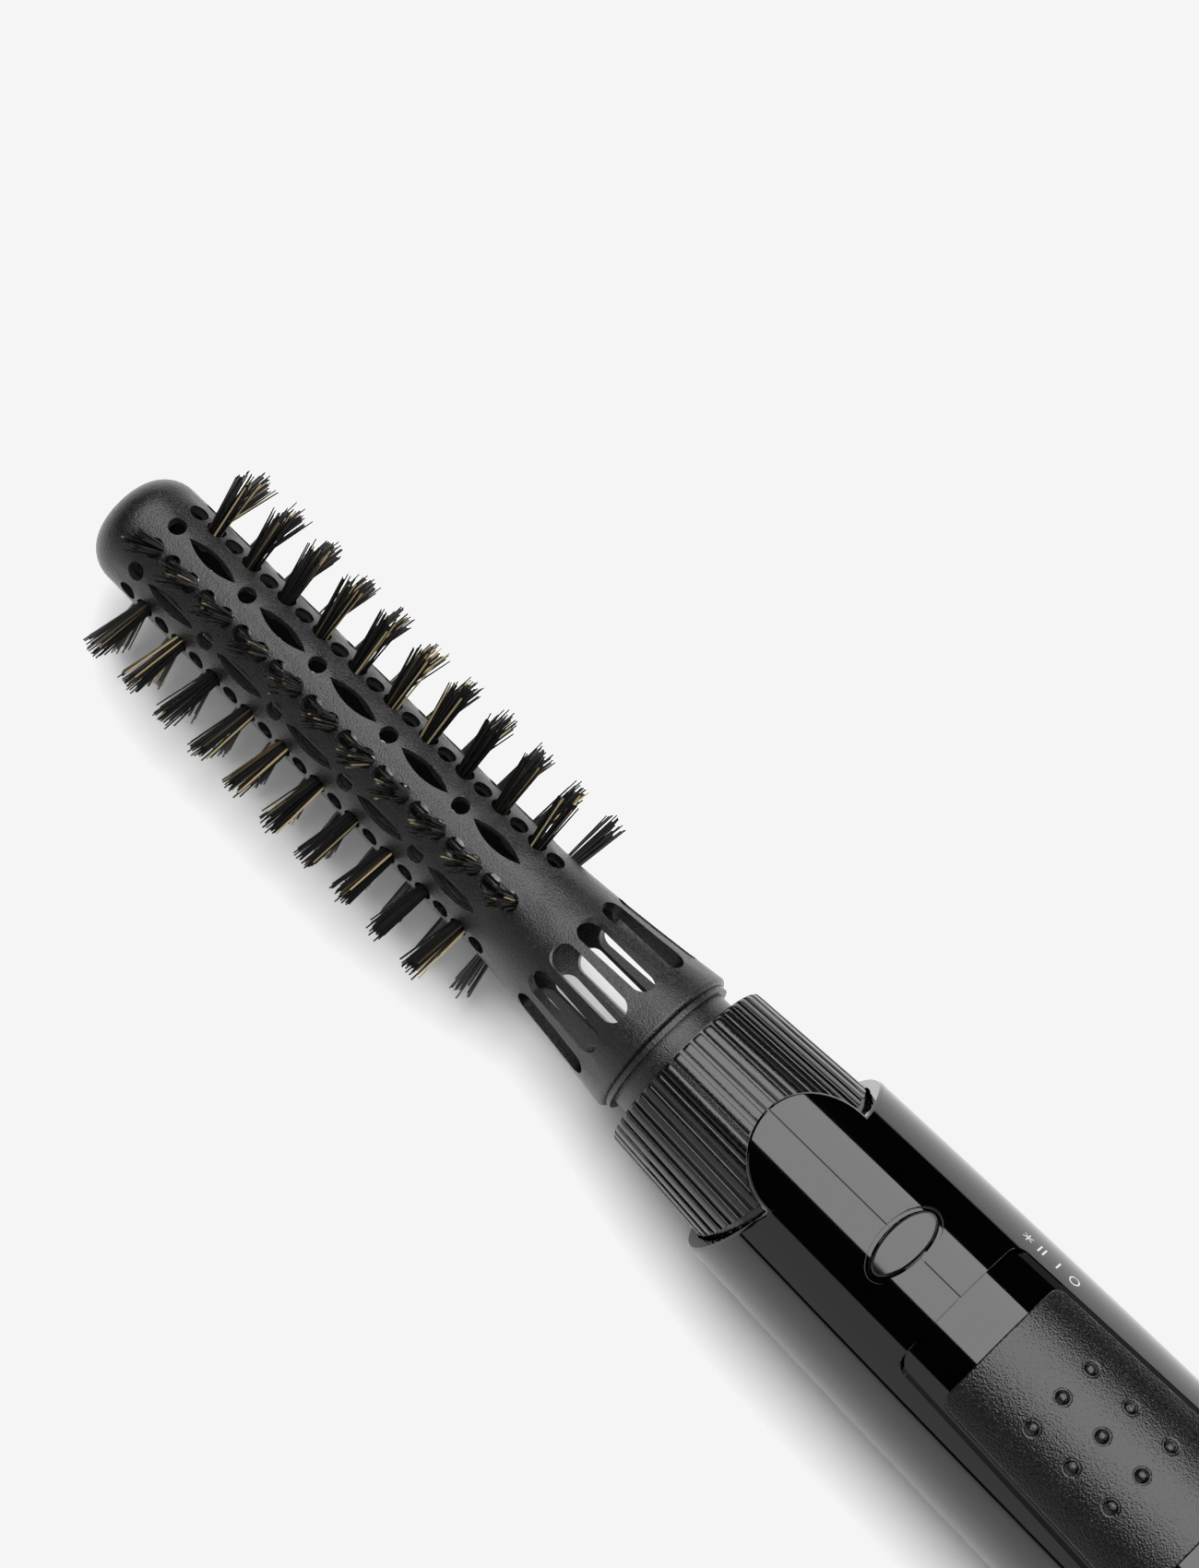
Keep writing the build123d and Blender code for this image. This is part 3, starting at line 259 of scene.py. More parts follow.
link(grain_pick.outputs["Result"], grain_bump.inputs["Height"])
grain_gloss = grain_group.nodes.new("ShaderNodeMapRange")
link(grain_pick.outputs["Result"], grain_gloss.inputs["Value"])
link(grain_in.outputs["Gloss low"], grain_gloss.inputs["To Min"])
link(grain_in.outputs["Gloss high"], grain_gloss.inputs["To Max"])
# Inside the barrel, nearer to the axis than the bore radius, the finish is dull; the domed
# tip is outside skin although it is near the axis
grain_axis = grain_group.nodes.new("ShaderNodeVectorMath")
grain_axis.operation = "SUBTRACT"
grain_axis.inputs[1].default_value = (0, axis_y, axis_z)
link(grain_place.outputs["Object"], grain_axis.inputs[0])
grain_flat = grain_group.nodes.new("ShaderNodeVectorMath")
grain_flat.operation = "MULTIPLY"
grain_flat.inputs[1].default_value = (0, 1000, 1000)
link(grain_axis.outputs["Vector"], grain_flat.inputs[0])
grain_radius = grain_group.nodes.new("ShaderNodeVectorMath")
grain_radius.operation = "LENGTH"
link(grain_flat.outputs["Vector"], grain_radius.inputs[0])
grain_inside = grain_group.nodes.new("ShaderNodeMath")
grain_inside.operation = "LESS_THAN"
link(grain_radius.outputs["Value"], grain_inside.inputs[0])
link(grain_in.outputs["Bore radius mm"], grain_inside.inputs[1])
grain_along = grain_group.nodes.new("ShaderNodeSeparateXYZ")
link(grain_place.outputs["Object"], grain_along.inputs[0])
grain_behind = grain_group.nodes.new("ShaderNodeMath")
grain_behind.operation = "GREATER_THAN"
grain_behind.inputs[1].default_value = tip_x + DOME_DEPTH
link(grain_along.outputs["X"], grain_behind.inputs[0])
grain_bore = grain_group.nodes.new("ShaderNodeMath")
grain_bore.operation = "MULTIPLY"
link(grain_inside.outputs["Value"], grain_bore.inputs[0])
link(grain_behind.outputs["Value"], grain_bore.inputs[1])
grain_dull = grain_group.nodes.new("ShaderNodeMath")
grain_dull.operation = "MAXIMUM"
link(grain_bore.outputs["Value"], grain_dull.inputs[0])
link(grain_gloss.outputs["Result"], grain_dull.inputs[1])
link(grain_bump.outputs["Normal"], grain_out.inputs["Normal"])
link(grain_dull.outputs["Value"], grain_out.inputs["Roughness"])
link(grain_pick.outputs["Result"], grain_out.inputs["Mask"])
print("group", grain_group.name, len(grain_group.nodes), "nodes")

# %% Group: handling, faint smears that change a polished surface's gloss
smear_group, smear_in, smear_out = make_group(
    "handling",
    [("Size mm", 18.0), ("Clean", 0.06), ("Smeared", 0.12)],
    [("Roughness", "NodeSocketFloat"), ("Mask", "NodeSocketFloat")],
)
link = smear_group.links.new
smear_place = smear_group.nodes.new("ShaderNodeTexCoord")
smear_scale = smear_group.nodes.new("ShaderNodeMath")
smear_scale.operation = "DIVIDE"
smear_scale.inputs[0].default_value = 1000.0
link(smear_in.outputs["Size mm"], smear_scale.inputs[1])
smear_noise = add_node(smear_group, "ShaderNodeTexNoise", Detail=5.0, Roughness=0.55, Distortion=0.6)
link(smear_place.outputs["Object"], smear_noise.inputs["Vector"])
link(smear_scale.outputs["Value"], smear_noise.inputs["Scale"])
smear_range = add_node(smear_group, "ShaderNodeMapRange", From_Min=0.35, From_Max=0.7)
link(smear_noise.outputs["Fac"], smear_range.inputs["Value"])
link(smear_in.outputs["Clean"], smear_range.inputs["To Min"])
link(smear_in.outputs["Smeared"], smear_range.inputs["To Max"])
link(smear_range.outputs["Result"], smear_out.inputs["Roughness"])
link(smear_noise.outputs["Fac"], smear_out.inputs["Mask"])
print("group", smear_group.name, len(smear_group.nodes), "nodes")

# %% Material makers


def new_material(name, colour, metallic=0.0, roughness=0.5, specular=0.5, coat=0.0):
    """Principled material with its constants on the shader's own sockets."""
    material = bpy.data.materials.new(name)
    material.use_nodes = True
    shader = material.node_tree.nodes["Principled BSDF"]
    shader.inputs["Base Color"].default_value = (*colour, 1)
    shader.inputs["Metallic"].default_value = metallic
    shader.inputs["Roughness"].default_value = roughness
    shader.inputs["Specular IOR Level"].default_value = specular
    shader.inputs["Coat Weight"].default_value = coat
    shader.inputs["Coat Roughness"].default_value = 0.05
    material.diffuse_color = (*colour, 1)
    return material, shader


def tint_by(material, shader, mask, dark, light):
    """Base colour that runs from dark to light with a mask."""
    ramp = material.node_tree.nodes.new("ShaderNodeValToRGB")
    ramp.color_ramp.elements[0].color = (*dark, 1)
    ramp.color_ramp.elements[1].color = (*light, 1)
    ramp.color_ramp.elements[0].position = 0.3
    ramp.color_ramp.elements[1].position = 0.7
    material.node_tree.links.new(mask, ramp.inputs["Fac"])
    material.node_tree.links.new(ramp.outputs["Color"], shader.inputs["Base Color"])


def grained(name, dark, light, size, height, gloss, pebble=0.0, bore=0.0, **constants):
    """Textured moulding: grain drives normal, gloss and a slight change of colour."""
    material, shader = new_material(name, dark, **constants)
    tree = material.node_tree
    group = tree.nodes.new("ShaderNodeGroup")
    group.node_tree = grain_group
    group.inputs["Size mm"].default_value = size
    group.inputs["Height mm"].default_value = height
    group.inputs["Pebble"].default_value = pebble
    group.inputs["Bore radius mm"].default_value = bore
    group.inputs["Gloss low"].default_value = gloss[0]
    group.inputs["Gloss high"].default_value = gloss[1]
    tree.links.new(group.outputs["Normal"], shader.inputs["Normal"])
    tree.links.new(group.outputs["Roughness"], shader.inputs["Roughness"])
    tint_by(material, shader, group.outputs["Mask"], dark, light)
    return material


def polished(name, dark, light, size, clean, smeared, **constants):
    """Polished surface: smears change its gloss and, very slightly, its colour."""
    material, shader = new_material(name, dark, **constants)
    tree = material.node_tree
    group = tree.nodes.new("ShaderNodeGroup")
    group.node_tree = smear_group
    group.inputs["Size mm"].default_value = size
    group.inputs["Clean"].default_value = clean
    group.inputs["Smeared"].default_value = smeared
    tree.links.new(group.outputs["Roughness"], shader.inputs["Roughness"])
    tint_by(material, shader, group.outputs["Mask"], dark, light)
    return material


# %% The finishes


def grey(level):
    """Colour with three equal parts."""
    return (level, level, level)


# Grained: size and height of the grain in mm, then the range of gloss
# Polished: size of the smears in mm, then clean and smeared gloss
finish = {
    "gloss_black": polished("gloss_black", grey(0.0002), grey(0.0005), 20, 0.035, 0.07),
    "button_plastic": polished("button_plastic", grey(0.002), grey(0.003), 6, 0.1, 0.16),
    "barrel_plastic": grained(
        "barrel_plastic", grey(0.001), grey(0.006), 0.24, 0.1, (0.2, 0.4), bore=8.3, specular=0.42
    ),
    "collar_plastic": grained("collar_plastic", grey(0.001), grey(0.004), 0.3, 0.02, (0.12, 0.26)),
    "grained_knob": grained(
        "grained_knob", grey(0.0006), grey(0.002), 0.28, 0.1, (0.2, 0.36), pebble=0.5, specular=0.42
    ),
    "swivel_plastic": grained("swivel_plastic", grey(0.02), grey(0.03), 0.6, 0.03, (0.4, 0.55)),
    "black_nylon": grained("black_nylon", grey(0.018), grey(0.028), 1.2, 0.02, (0.4, 0.55)),
    "switch_body": polished("switch_body", grey(0.02), grey(0.03), 5, 0.25, 0.35),
    "fan_plastic": polished("fan_plastic", (0.6, 0.6, 0.57), (0.66, 0.66, 0.63), 8, 0.35, 0.5),
    "board_laminate": polished("board_laminate", (0.03, 0.16, 0.07), (0.05, 0.22, 0.09), 3, 0.25, 0.4),
    "diode_epoxy": grained("diode_epoxy", grey(0.015), grey(0.025), 0.4, 0.02, (0.5, 0.6)),
    "mica": grained("mica", (0.5, 0.41, 0.27), (0.66, 0.57, 0.42), 2.5, 0.05, (0.25, 0.45)),
    # Anchor wires: steel painted dark, as painted shade for the shade down in the barrel's holes
    "wire_painted_shade": polished("wire_painted_shade", grey(0.05), (0.09, 0.085, 0.08), 3, 0.4, 0.6, metallic=1.0),
    "steel_wire": polished("steel_wire", grey(0.55), grey(0.65), 4, 0.22, 0.35, metallic=1.0),
    "screw_steel": polished("screw_steel", (0.4, 0.4, 0.41), grey(0.5), 2, 0.28, 0.42, metallic=1.0),
    "heating_wire": polished(
        "heating_wire", (0.25, 0.2, 0.17), (0.4, 0.36, 0.33), 5, 0.35, 0.55, metallic=1.0
    ),
    "fuse_metal": polished("fuse_metal", (0.7, 0.7, 0.68), (0.8, 0.8, 0.78), 3, 0.2, 0.35, metallic=1.0),
    "motor_steel": polished("motor_steel", grey(0.45), grey(0.55), 10, 0.25, 0.4, metallic=1.0),
    "magnet": grained("magnet", grey(0.08), grey(0.12), 0.8, 0.04, (0.5, 0.7)),
    "copper": polished("copper", (0.65, 0.32, 0.18), (0.8, 0.45, 0.28), 2, 0.2, 0.35, metallic=1.0),
    "mark_print": polished("mark_print", grey(0.42), grey(0.5), 2, 0.35, 0.45),
}
floor_material, _ = new_material("pale_floor", grey(0.86), roughness=0.8, specular=0.0)
floor_mesh.materials.append(floor_material)
print("finishes", len(finish))

# %% Every CAD node takes the finish that the record gives it, but the anchor wires take a steel painted dark: painted shade for the shaded inside of the barrel
slot_of = {row["node"]: row["material_slot"] for row in frame["record"]["subparts"]}
for name, node in nodes.items():
    material = finish["wire_painted_shade"] if name == "anchor_wires" else finish.get(slot_of[name])
    if material is None:
        continue
    node.data.materials.clear()
    node.data.materials.append(material)

# %% [markdown]
# ## Bristles
#
# Each tuft is a few dozen stiff hairs, folded over the wire inside the barrel and pulled out
# through one hole. Black nylon carries the shape and some tan boar bristle is mixed in. A
# Geometry Nodes tree grows them: one point per tuft is copied once per hair, each copy is
# moved inside the hole and leaned outwards by as much, and a thin tapered hair is placed on
# it. The hairs differ in length, so the tuft's end is uneven, as on a real brush.

# %% One point for each tuft, read from the CAD cones
TUFT_GAP = 1.5 * MM         # cones in a row are further apart than this
TUFT_TIP_HALF = 1.85 * MM   # half the width of a cone's end


def tuft_points():
    """Station x in metres and angle in degrees of every tuft."""
    found = []
    for k in range(1, 7):
        mesh = nodes[f"tuft_row_{k}"].data
        points = np.array([v.co[:] for v in mesh.vertices])
        middle = points.mean(axis=0)
        angle = math.degrees(math.atan2(middle[1] - axis_y, middle[2] - axis_z))
        runs = []
        for x in sorted(set(points[:, 0].round(5))):
            if runs and x - runs[-1][1] < TUFT_GAP:
                runs[-1][1] = x
            else:
                runs.append([x, x])
        found += [((low + high) / 2, angle) for low, high in runs]
    return found


tufts = tuft_points()
cone_radii = [
    math.hypot(v.co.y - axis_y, v.co.z - axis_z) for v in nodes["tuft_row_1"].data.vertices
]
tuft_foot = min(cone_radii)
tuft_reach = math.sqrt(max(cone_radii) ** 2 - TUFT_TIP_HALF ** 2)
print("tufts", len(tufts), "foot and tip radius in mm", round(tuft_foot / MM, 2), round(tuft_reach / MM, 2))

# %% Geometry Nodes helpers


def geometry_tree(name, inputs):
    """Geometry Nodes tree with named inputs: (label, socket type, default)."""
    tree = bpy.data.node_groups.new(name, "GeometryNodeTree")
    tree.interface.new_socket("Geometry", in_out="INPUT", socket_type="NodeSocketGeometry")
    tree.interface.new_socket("Geometry", in_out="OUTPUT", socket_type="NodeSocketGeometry")
    for label, kind, default in inputs:
        socket = tree.interface.new_socket(label, in_out="INPUT", socket_type=kind)
        if default is not None:
            socket.default_value = default
    return tree, tree.nodes.new("NodeGroupInput"), tree.nodes.new("NodeGroupOutput")


def wire(tree, node, **sources):
    """Feed a node's inputs, named or numbered (_0, _1), from sockets or plain values."""
    for key, source in sources.items():
        socket = node.inputs[int(key[1:])] if key[0] == "_" else node.inputs[key.replace("_", " ")]
        if isinstance(source, bpy.types.NodeSocket):
            tree.links.new(source, socket)
        else:
            socket.default_value = source
    return node


def number(tree, operation, a, b=0.0):
    """Math node."""
    node = tree.nodes.new("ShaderNodeMath")
    node.operation = operation
    return wire(tree, node, _0=a, _1=b).outputs[0]


def vector(tree, operation, a, b=(0, 0, 0)):
    """Vector Math node with a vector result."""
    node = tree.nodes.new("ShaderNodeVectorMath")
    node.operation = operation
    return wire(tree, node, _0=a, _1=b).outputs[0]


def scaled(tree, a, factor):
    """Vector times a number."""
    node = tree.nodes.new("ShaderNodeVectorMath")
    node.operation = "SCALE"
    return wire(tree, node, _0=a, Scale=factor).outputs[0]


def random_number(tree, low, high, seed):
    """Random number for each element."""
    node = tree.nodes.new("FunctionNodeRandomValue")
    node.data_type = "FLOAT"
    index = tree.nodes.new("GeometryNodeInputIndex").outputs[0]
    wire(tree, node, _2=low, _3=high, ID=index, Seed=seed)
    return node.outputs[1]


# %% The tuft tree
hair_tree, hair_in, hair_out = geometry_tree("grow_tufts", [
    ("Hairs", "NodeSocketInt", 40),
    ("Root radius", "NodeSocketFloat", 0.00095),
    ("Tip radius", "NodeSocketFloat", 0.0019),
    ("Length", "NodeSocketFloat", 0.0123),
    ("Shortest", "NodeSocketFloat", 0.86),
    ("Hair radius", "NodeSocketFloat", 0.00016),
    ("Stray", "NodeSocketFloat", 0.05),
    ("Seed", "NodeSocketInt", 7),
    ("Material", "NodeSocketMaterial", None),
])
value = hair_in.outputs
copies = hair_tree.nodes.new("GeometryNodeDuplicateElements")
copies.domain = "POINT"
wire(hair_tree, copies, Geometry=value["Geometry"], Amount=value["Hairs"])
out_attribute = hair_tree.nodes.new("GeometryNodeInputNamedAttribute")
out_attribute.data_type = "FLOAT_VECTOR"
wire(hair_tree, out_attribute, Name="outward")
away = out_attribute.outputs[0]


def seed_plus(step):
    """The tree's seed, moved on so that two random numbers never run together."""
    return number(hair_tree, "ADD", value["Seed"], step)


share = number(hair_tree, "SQRT", random_number(hair_tree, 0.0, 1.0, seed_plus(1)))
turn_about = random_number(hair_tree, 0.0, math.tau, seed_plus(2))
beside = vector(hair_tree, "CROSS_PRODUCT", (1, 0, 0), away)
spoke = vector(
    hair_tree, "ADD",
    scaled(hair_tree, (1, 0, 0), number(hair_tree, "COSINE", turn_about)),
    scaled(hair_tree, beside, number(hair_tree, "SINE", turn_about)),
)
root = scaled(hair_tree, spoke, number(hair_tree, "MULTIPLY", share, value["Root radius"]))
placed = hair_tree.nodes.new("GeometryNodeSetPosition")
wire(hair_tree, placed, Geometry=copies.outputs["Geometry"], Offset=root)
lean = number(
    hair_tree, "MULTIPLY", share,
    number(hair_tree, "SUBTRACT", value["Tip radius"], value["Root radius"]),
)
wander = random_number(hair_tree, -1.0, 1.0, seed_plus(3))
wander = number(hair_tree, "MULTIPLY", number(hair_tree, "POWER", wander, 3.0), value["Stray"])
wander = number(hair_tree, "MULTIPLY", wander, value["Length"])
heading = vector(
    hair_tree, "ADD", scaled(hair_tree, away, value["Length"]),
    scaled(hair_tree, spoke, number(hair_tree, "ADD", lean, wander)),
)
upright = hair_tree.nodes.new("FunctionNodeAlignRotationToVector")
upright.axis = "Z"
wire(hair_tree, upright, Vector=heading)
hair_length = number(
    hair_tree, "MULTIPLY", value["Length"], random_number(hair_tree, value["Shortest"], 1.0, seed_plus(4))
)
stretch = hair_tree.nodes.new("ShaderNodeCombineXYZ")
wire(hair_tree, stretch, _0=value["Hair radius"], _1=value["Hair radius"], _2=hair_length)
one_hair = hair_tree.nodes.new("GeometryNodeMeshCone")
one_hair.fill_type = "NONE"
wire(hair_tree, one_hair, Vertices=4, Radius_Top=0.7, Radius_Bottom=1.0, Depth=1.0)
hairs = hair_tree.nodes.new("GeometryNodeInstanceOnPoints")
wire(
    hair_tree, hairs, Points=placed.outputs["Geometry"], Instance=one_hair.outputs["Mesh"],
    Rotation=upright.outputs["Rotation"], Scale=stretch.outputs[0],
)
tone = hair_tree.nodes.new("GeometryNodeStoreNamedAttribute")
tone.data_type = "FLOAT"
tone.domain = "INSTANCE"
wire(
    hair_tree, tone, Geometry=hairs.outputs["Instances"], Name="hair_tone",
    Value=random_number(hair_tree, 0.0, 1.0, seed_plus(5)),
)
real = hair_tree.nodes.new("GeometryNodeRealizeInstances")
wire(hair_tree, real, Geometry=tone.outputs["Geometry"])
dressed = hair_tree.nodes.new("GeometryNodeSetMaterial")
wire(hair_tree, dressed, Geometry=real.outputs["Geometry"], Material=value["Material"])
wire(hair_tree, hair_out, Geometry=dressed.outputs["Geometry"])
print("tree", hair_tree.name, len(hair_tree.nodes), "nodes")

# %% Hair material: most hairs are black, some tan
hair_material, hair_shader = new_material("bristle", (0.01, 0.01, 0.01), roughness=0.4, specular=0.5)
tree = hair_material.node_tree
tone_in = tree.nodes.new("ShaderNodeAttribute")
tone_in.attribute_name = "hair_tone"
tone_ramp = tree.nodes.new("ShaderNodeValToRGB")
tone_ramp.color_ramp.interpolation = "CONSTANT"
stops = tone_ramp.color_ramp.elements
stops[0].color = (0.003, 0.003, 0.003, 1)
stops[1].position = 0.85
stops[1].color = (0.05, 0.035, 0.018, 1)
last = stops.new(0.91)
last.color = (0.34, 0.27, 0.15, 1)
tree.links.new(tone_in.outputs["Fac"], tone_ramp.inputs["Fac"])
tree.links.new(tone_ramp.outputs["Color"], hair_shader.inputs["Base Color"])
finish["bristle"] = hair_material


# %% Grow the tufts and turn the result into a plain mesh
def grown(name, points, attributes, tree, settings):
    """Mesh object grown by a Geometry Nodes tree from points with vector attributes."""
    mesh = bpy.data.meshes.new(name)
    mesh.from_pydata(points, [], [])
    for label, values in attributes.items():
        layer = mesh.attributes.new(label, "FLOAT_VECTOR", "POINT")
        layer.data.foreach_set("vector", [c for v in values for c in v])
    seed = bpy.data.objects.new(name + "_points", mesh)
    bpy.context.scene.collection.objects.link(seed)
    modifier = seed.modifiers.new("grow", "NODES")
    modifier.node_group = tree
    for item in tree.interface.items_tree:
        if item.in_out == "INPUT" and item.name in settings:
            modifier[item.identifier] = settings[item.name]
    graph = bpy.context.evaluated_depsgraph_get()
    result = bpy.data.meshes.new_from_object(seed.evaluated_get(graph), depsgraph=graph)
    result.name = name
    bpy.data.objects.remove(seed)
    piece = bpy.data.objects.new(name, result)
    bpy.context.scene.collection.objects.link(piece)
    print(name, len(result.polygons), "faces")
    return piece


bristles = grown(
    "bristles",
    [Vector((x, axis_y, axis_z)) + outward(angle) * tuft_foot for x, angle in tufts],
    {"outward": [outward(angle) for _, angle in tufts]},
    hair_tree,
    {"Hairs": 40, "Length": tuft_reach - tuft_foot, "Material": hair_material, "Seed": 7},
)
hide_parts(*[f"tuft_row_{k}" for k in range(1, 7)])
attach(bristles, "brush_head")

# %% [markdown]
# ## Shells, knob and button with true normals
#
# A glossy surface shows every flat facet in its reflections. The real shells are smooth
# mouldings, so each triangle's corners get the normal of the smooth shape itself: outwards
# from the long axis, leaned by the slope of the handle's profile. A merged copy of the CAD
# piece carries these normals, and edges sharper than 30 degrees stay crisp.

# %% The handle's profile, read off the CAD shell on its plain side
RAY_START = 40.0            # mm from the axis, outside every piece
PLAIN_SIDE = 100.0          # degrees from the top, where the shell has no cut
MOUTH_MARGIN = 18.0         # mm at the slanted mouth left out of the profile
TAIL_MARGIN = 34.0          # mm at the air inlet and the tail left out of it
shell_tree = BVHTree.FromPolygons(
    [v.co for v in nodes["right_shell"].data.vertices],
    [tuple(p.vertices) for p in nodes["right_shell"].data.polygons],
)


def skin_radius(station, angle):
    """Radius of the shell in mm at a station and angle, by a ray from outside."""
    start = on_skin(station, angle, RAY_START)
    hit = shell_tree.ray_cast(start, -outward(angle))[0]
    return RAY_START - (hit - start).length / MM


shell_low, shell_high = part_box("right_shell")
shell_front = (shell_low.x - tip_x) / MM
shell_rear = (shell_high.x - tip_x) / MM
profile_stations = np.linspace(shell_front + MOUTH_MARGIN, shell_rear - TAIL_MARGIN, 60)
profile_radii = np.array([skin_radius(s, PLAIN_SIDE) for s in profile_stations])
profile_fit = np.polynomial.Polynomial.fit(profile_stations, profile_radii, 5)
profile_slope = profile_fit.deriv()
print("profile fit error in mm", round(float(abs(profile_fit(profile_stations) - profile_radii).max()), 3))


# %% Merged copy of a CAD node with smooth normals
NEAR_SKIN = math.cos(math.radians(8.0))     # a face this close to the ideal normal is skin
CREASE = math.radians(30.0)


def smooth_copy(node_name, body, slot_name):
    """Copy whose skin triangles take the handle's own normals, riding on a body."""
    mesh = nodes[node_name].data.copy()
    mesh.name = node_name + "_smooth"
    work = bmesh.new()
    work.from_mesh(mesh)
    bmesh.ops.remove_doubles(work, verts=work.verts, dist=1e-6)
    work.to_mesh(mesh)
    work.free()
    mesh.shade_smooth()
    mesh.set_sharp_from_angle(angle=CREASE)
    count = len(mesh.vertices)
    points = np.empty(count * 3)
    mesh.vertices.foreach_get("co", points)
    points = points.reshape(-1, 3)
    stations = np.clip((points[:, 0] - tip_x) / MM, shell_front, shell_rear)
    slope = profile_slope(stations)
    side_y, side_z = points[:, 1] - axis_y, points[:, 2] - axis_z
    radius = np.hypot(side_y, side_z) + 1e-12
    ideal = np.stack([-slope, side_y / radius, side_z / radius], axis=1)
    ideal /= np.linalg.norm(ideal, axis=1)[:, None]
    loops = len(mesh.loops)
    corner = np.empty(loops, dtype=np.int32)
    mesh.loops.foreach_get("vertex_index", corner)
    face_normals = np.empty(len(mesh.polygons) * 3)
    mesh.polygons.foreach_get("normal", face_normals)
    face_normals = face_normals.reshape(-1, 3)
    totals = np.empty(len(mesh.polygons), dtype=np.int32)
    mesh.polygons.foreach_get("loop_total", totals)
    loop_face = np.repeat(np.arange(len(mesh.polygons)), totals)
    agree = (face_normals[loop_face] * ideal[corner]).sum(axis=1) > NEAR_SKIN
    custom = np.where(agree[:, None], ideal[corner], 0.0)
    mesh.normals_split_custom_set(custom.tolist())
    piece = bpy.data.objects.new(node_name + "_skin", mesh)
    bpy.context.scene.collection.objects.link(piece)
    mesh.materials.clear()
    mesh.materials.append(finish[slot_name])
    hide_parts(node_name)
    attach(piece, body)
    print(piece.name, len(mesh.polygons), "faces,", int(agree.sum()), "smooth corners of", loops)


smooth_copy("left_shell", "handle", "gloss_black")
smooth_copy("right_shell", "handle", "gloss_black")
smooth_copy("switch_knob", "knob", "grained_knob")
smooth_copy("release_button", "button", "button_plastic")

# %% [markdown]
# ## Collar ribs
#
# The collar's ribs are rounded bars with dark grooves between them, and their edges catch
# thin lines of light. The CAD collar has them with sharp edges, so a row of rounded caps
# goes over them. Geometry Nodes turns one bar round the collar, stretches each copy to the
# slanted mouth and leans it to follow the collar's taper.

# %% Where the collar's ribs run
COLLAR_LENGTH = 18.9
MOUTH_SLANT = 0.30          # station per mm of height
RIB_COUNT = 44
RIB_WIDTH = 1.42
RIB_PROUD = 0.07
RIB_START = 0.1             # mm behind the collar's front
RIB_CLEAR = 0.5             # mm that ribs stay off the shells and the lever
collar_points = np.array([v.co[:] for v in nodes["ribbed_collar"].data.vertices])
collar_stations = (collar_points[:, 0] - tip_x) / MM
collar_radii = np.hypot(collar_points[:, 1] - axis_y, collar_points[:, 2] - axis_z) / MM
collar_front = float(collar_stations.min())
front_radius = float(collar_radii[collar_stations < collar_front + 1.2].max())
near_mouth = abs(collar_stations - collar_front - 18.05) < 0.55
rear_radius = float(collar_radii[near_mouth].max())
collar_taper = (rear_radius - front_radius) / 17.3
print("collar front", round(collar_front, 2), "radii", round(front_radius, 2), round(rear_radius, 2))


lever_low, lever_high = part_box("latch_lever")
lever_front = (lever_low.x - tip_x) / MM
lever_half = (lever_high.y - lever_low.y) / 2 / MM


def rib_end(angle):
    """Station where a rib ends: at the slanted mouth, or ahead of the latch lever's hook."""
    turn = math.radians(angle)
    above_lever = math.cos(turn) > 0 and abs(rear_radius * math.sin(turn)) < lever_half + RIB_WIDTH
    if above_lever:
        return lever_front - RIB_CLEAR
    return collar_front + COLLAR_LENGTH - 0.45 + MOUTH_SLANT * rear_radius * math.cos(turn)


# %% The rib tree
rib_tree, rib_in, rib_out = geometry_tree("turn_ribs", [
    ("Bar", "NodeSocketObject", None),
    ("Material", "NodeSocketMaterial", None),
])
value = rib_in.outputs
bar_info = rib_tree.nodes.new("GeometryNodeObjectInfo")
wire(rib_tree, bar_info, Object=value["Bar"])
spin = rib_tree.nodes.new("GeometryNodeInputNamedAttribute")
spin.data_type = "FLOAT_VECTOR"
wire(rib_tree, spin, Name="spin")
grow = rib_tree.nodes.new("GeometryNodeInputNamedAttribute")
grow.data_type = "FLOAT_VECTOR"
wire(rib_tree, grow, Name="grow")
bars = rib_tree.nodes.new("GeometryNodeInstanceOnPoints")
wire(
    rib_tree, bars, Points=value["Geometry"], Instance=bar_info.outputs["Geometry"],
    Rotation=spin.outputs[0], Scale=grow.outputs[0],
)
real = rib_tree.nodes.new("GeometryNodeRealizeInstances")
wire(rib_tree, real, Geometry=bars.outputs["Instances"])
dressed = rib_tree.nodes.new("GeometryNodeSetMaterial")
wire(rib_tree, dressed, Geometry=real.outputs["Geometry"], Material=value["Material"])
wire(rib_tree, rib_out, Geometry=dressed.outputs["Geometry"])


# %% One bar, a metre long: a low arch in cross-section, rounded at its front end
def bar_object():
    """Unit bar along X with its top at z = 0, widths in metres, length 1."""
    half = RIB_WIDTH / 2 * MM
    arch = [(-half, -0.42 * MM), (-half, -0.14 * MM), (-half * 0.9, -0.05 * MM), (-half * 0.74, 0.0),
            (half * 0.74, 0.0), (half * 0.9, -0.05 * MM), (half, -0.14 * MM), (half, -0.42 * MM)]
    sections = [(0.0, 0.35), (0.006, 0.12), (0.02, 0.03), (0.045, 0.0), (1.0, 0.0)]
    points, faces = [], []
    for share, drop in sections:
        points += [(share, y, z - drop * MM) for y, z in arch]
    wide = len(arch)
    for row in range(len(sections) - 1):
        for i in range(wide - 1):
            a = row * wide + i
            faces.append((a, a + wide, a + wide + 1, a + 1))
    faces.append(tuple(range(wide)))
    faces.append(tuple(range(wide * len(sections) - 1, wide * (len(sections) - 1) - 1, -1)))
    mesh = bpy.data.meshes.new("rib_bar")
    mesh.from_pydata(points, [], faces)
    mesh.shade_smooth()
    mesh.set_sharp_from_angle(angle=math.radians(50))
    bar = bpy.data.objects.new("rib_bar", mesh)
    bpy.context.scene.collection.objects.link(bar)
    return bar


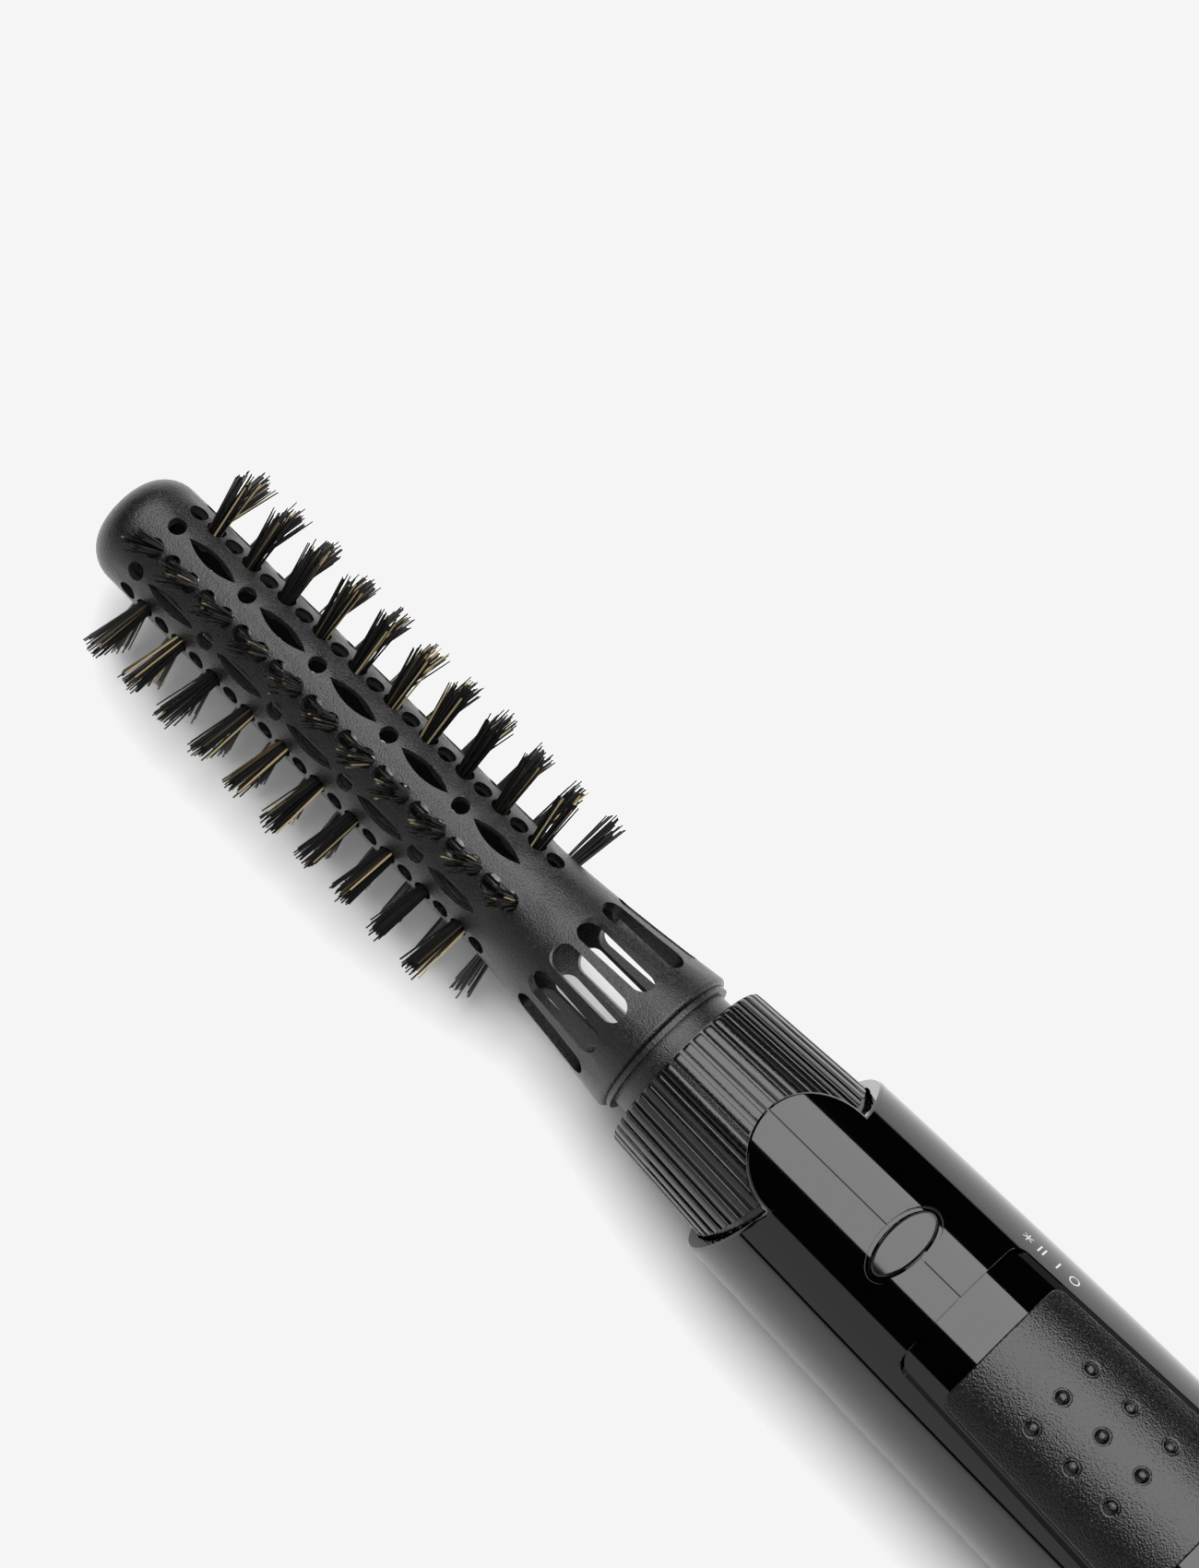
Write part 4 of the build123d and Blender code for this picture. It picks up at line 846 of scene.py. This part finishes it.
bar = bar_object()
rib_angles = [90.0 + 360.0 / RIB_COUNT * (k + 0.5) for k in range(RIB_COUNT)]
rib_lean = math.atan(collar_taper)
rib_ends = [rib_end(a) for a in rib_angles]
print("latch lever starts at", round(lever_front, 2), "ribs end from", round(min(rib_ends), 1), "on")
ribs = grown(
    "collar_ribs",
    [on_skin(collar_front + RIB_START, a, front_radius + RIB_PROUD - 0.05) for a in rib_angles],
    {
        "spin": [
            (Matrix.Rotation(-math.radians(a), 3, "X") @ Matrix.Rotation(-rib_lean, 3, "Y")).to_euler()
            for a in rib_angles
        ],
        "grow": [((end - collar_front - RIB_START) * MM, 1.0, 1.0) for end in rib_ends],
    },
    rib_tree,
    {"Bar": bar, "Material": finish["collar_plastic"]},
)
bpy.data.objects.remove(bar)
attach(ribs, "handle")

# %% [markdown]
# ## Switch marks
#
# The positions are printed in pale grey beside the switch. Each mark is a set of short
# strokes, laid on the shell by casting every point down to its skin.

# %% Printed marks


def stroke(station_a, angle_a, station_b, angle_b, width, steps=8):
    """Corners and faces of a thin strip on the skin between two places."""
    points, faces = [], []
    mid_radius = skin_radius(station_a, angle_a)
    per_degree = math.radians(mid_radius)
    run = Vector((station_b - station_a, (angle_b - angle_a) * per_degree))
    aside = Vector((-run.y, run.x)).normalized() * width / 2
    for i in range(steps + 1):
        share = i / steps
        for sign in (-1, 1):
            s = station_a + (station_b - station_a) * share + aside.x * sign
            a = angle_a + (angle_b - angle_a) * share + aside.y / per_degree * sign
            points.append(on_skin(s, a, skin_radius(s, a) + 0.02))
    for i in range(steps):
        faces.append((2 * i, 2 * i + 1, 2 * i + 3, 2 * i + 2))
    return points, faces


def print_mark(name, strokes):
    """One printed mark from several strokes."""
    points, faces = [], []
    for item in strokes:
        more, patches = stroke(*item)
        faces += [tuple(len(points) + i for i in patch) for patch in patches]
        points += more
    mesh = bpy.data.meshes.new(name)
    mesh.from_pydata(points, [], faces)
    mesh.materials.append(finish["mark_print"])
    piece = bpy.data.objects.new(name, mesh)
    bpy.context.scene.collection.objects.link(piece)
    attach(piece, "handle")
    print(name, len(faces), "faces")


MARK_ANGLE = 49.0
MARK_REACH = 2.86           # half a mark's length, in degrees round the handle
OFF_STATION = 171.2
LOW_STATION = 168.3
HIGH_STATIONS = (165.0, 165.8)
COOL_STATION = 162.9
FLAKE_ANGLES = (30, 90, 150)
FLAKE_HALF = 0.9
FLAKE_REACH = 2.9
RING_HALF = 0.75
RING_CORNERS = 12


def ring_corner(i):
    """Station and angle of a corner of the off ring."""
    turn = math.tau * i / RING_CORNERS
    return OFF_STATION + RING_HALF * math.cos(turn), MARK_ANGLE + MARK_REACH * math.sin(turn)


def bar_at(station):
    """Stroke across the marks' row."""
    return (station, MARK_ANGLE - MARK_REACH, station, MARK_ANGLE + MARK_REACH, 0.25)


def flake_arm(degrees):
    """One of the snowflake's three crossing strokes."""
    aside = FLAKE_HALF * math.cos(math.radians(degrees))
    across = FLAKE_REACH * math.sin(math.radians(degrees))
    return (
        COOL_STATION - aside, MARK_ANGLE - across, COOL_STATION + aside, MARK_ANGLE + across, 0.16,
    )


print_mark("mark_off", [(*ring_corner(i), *ring_corner(i + 1), 0.22, 1) for i in range(RING_CORNERS)])
print_mark("mark_low", [bar_at(LOW_STATION)])
print_mark("mark_high", [bar_at(station) for station in HIGH_STATIONS])
print_mark("mark_cool", [flake_arm(degrees) for degrees in FLAKE_ANGLES])
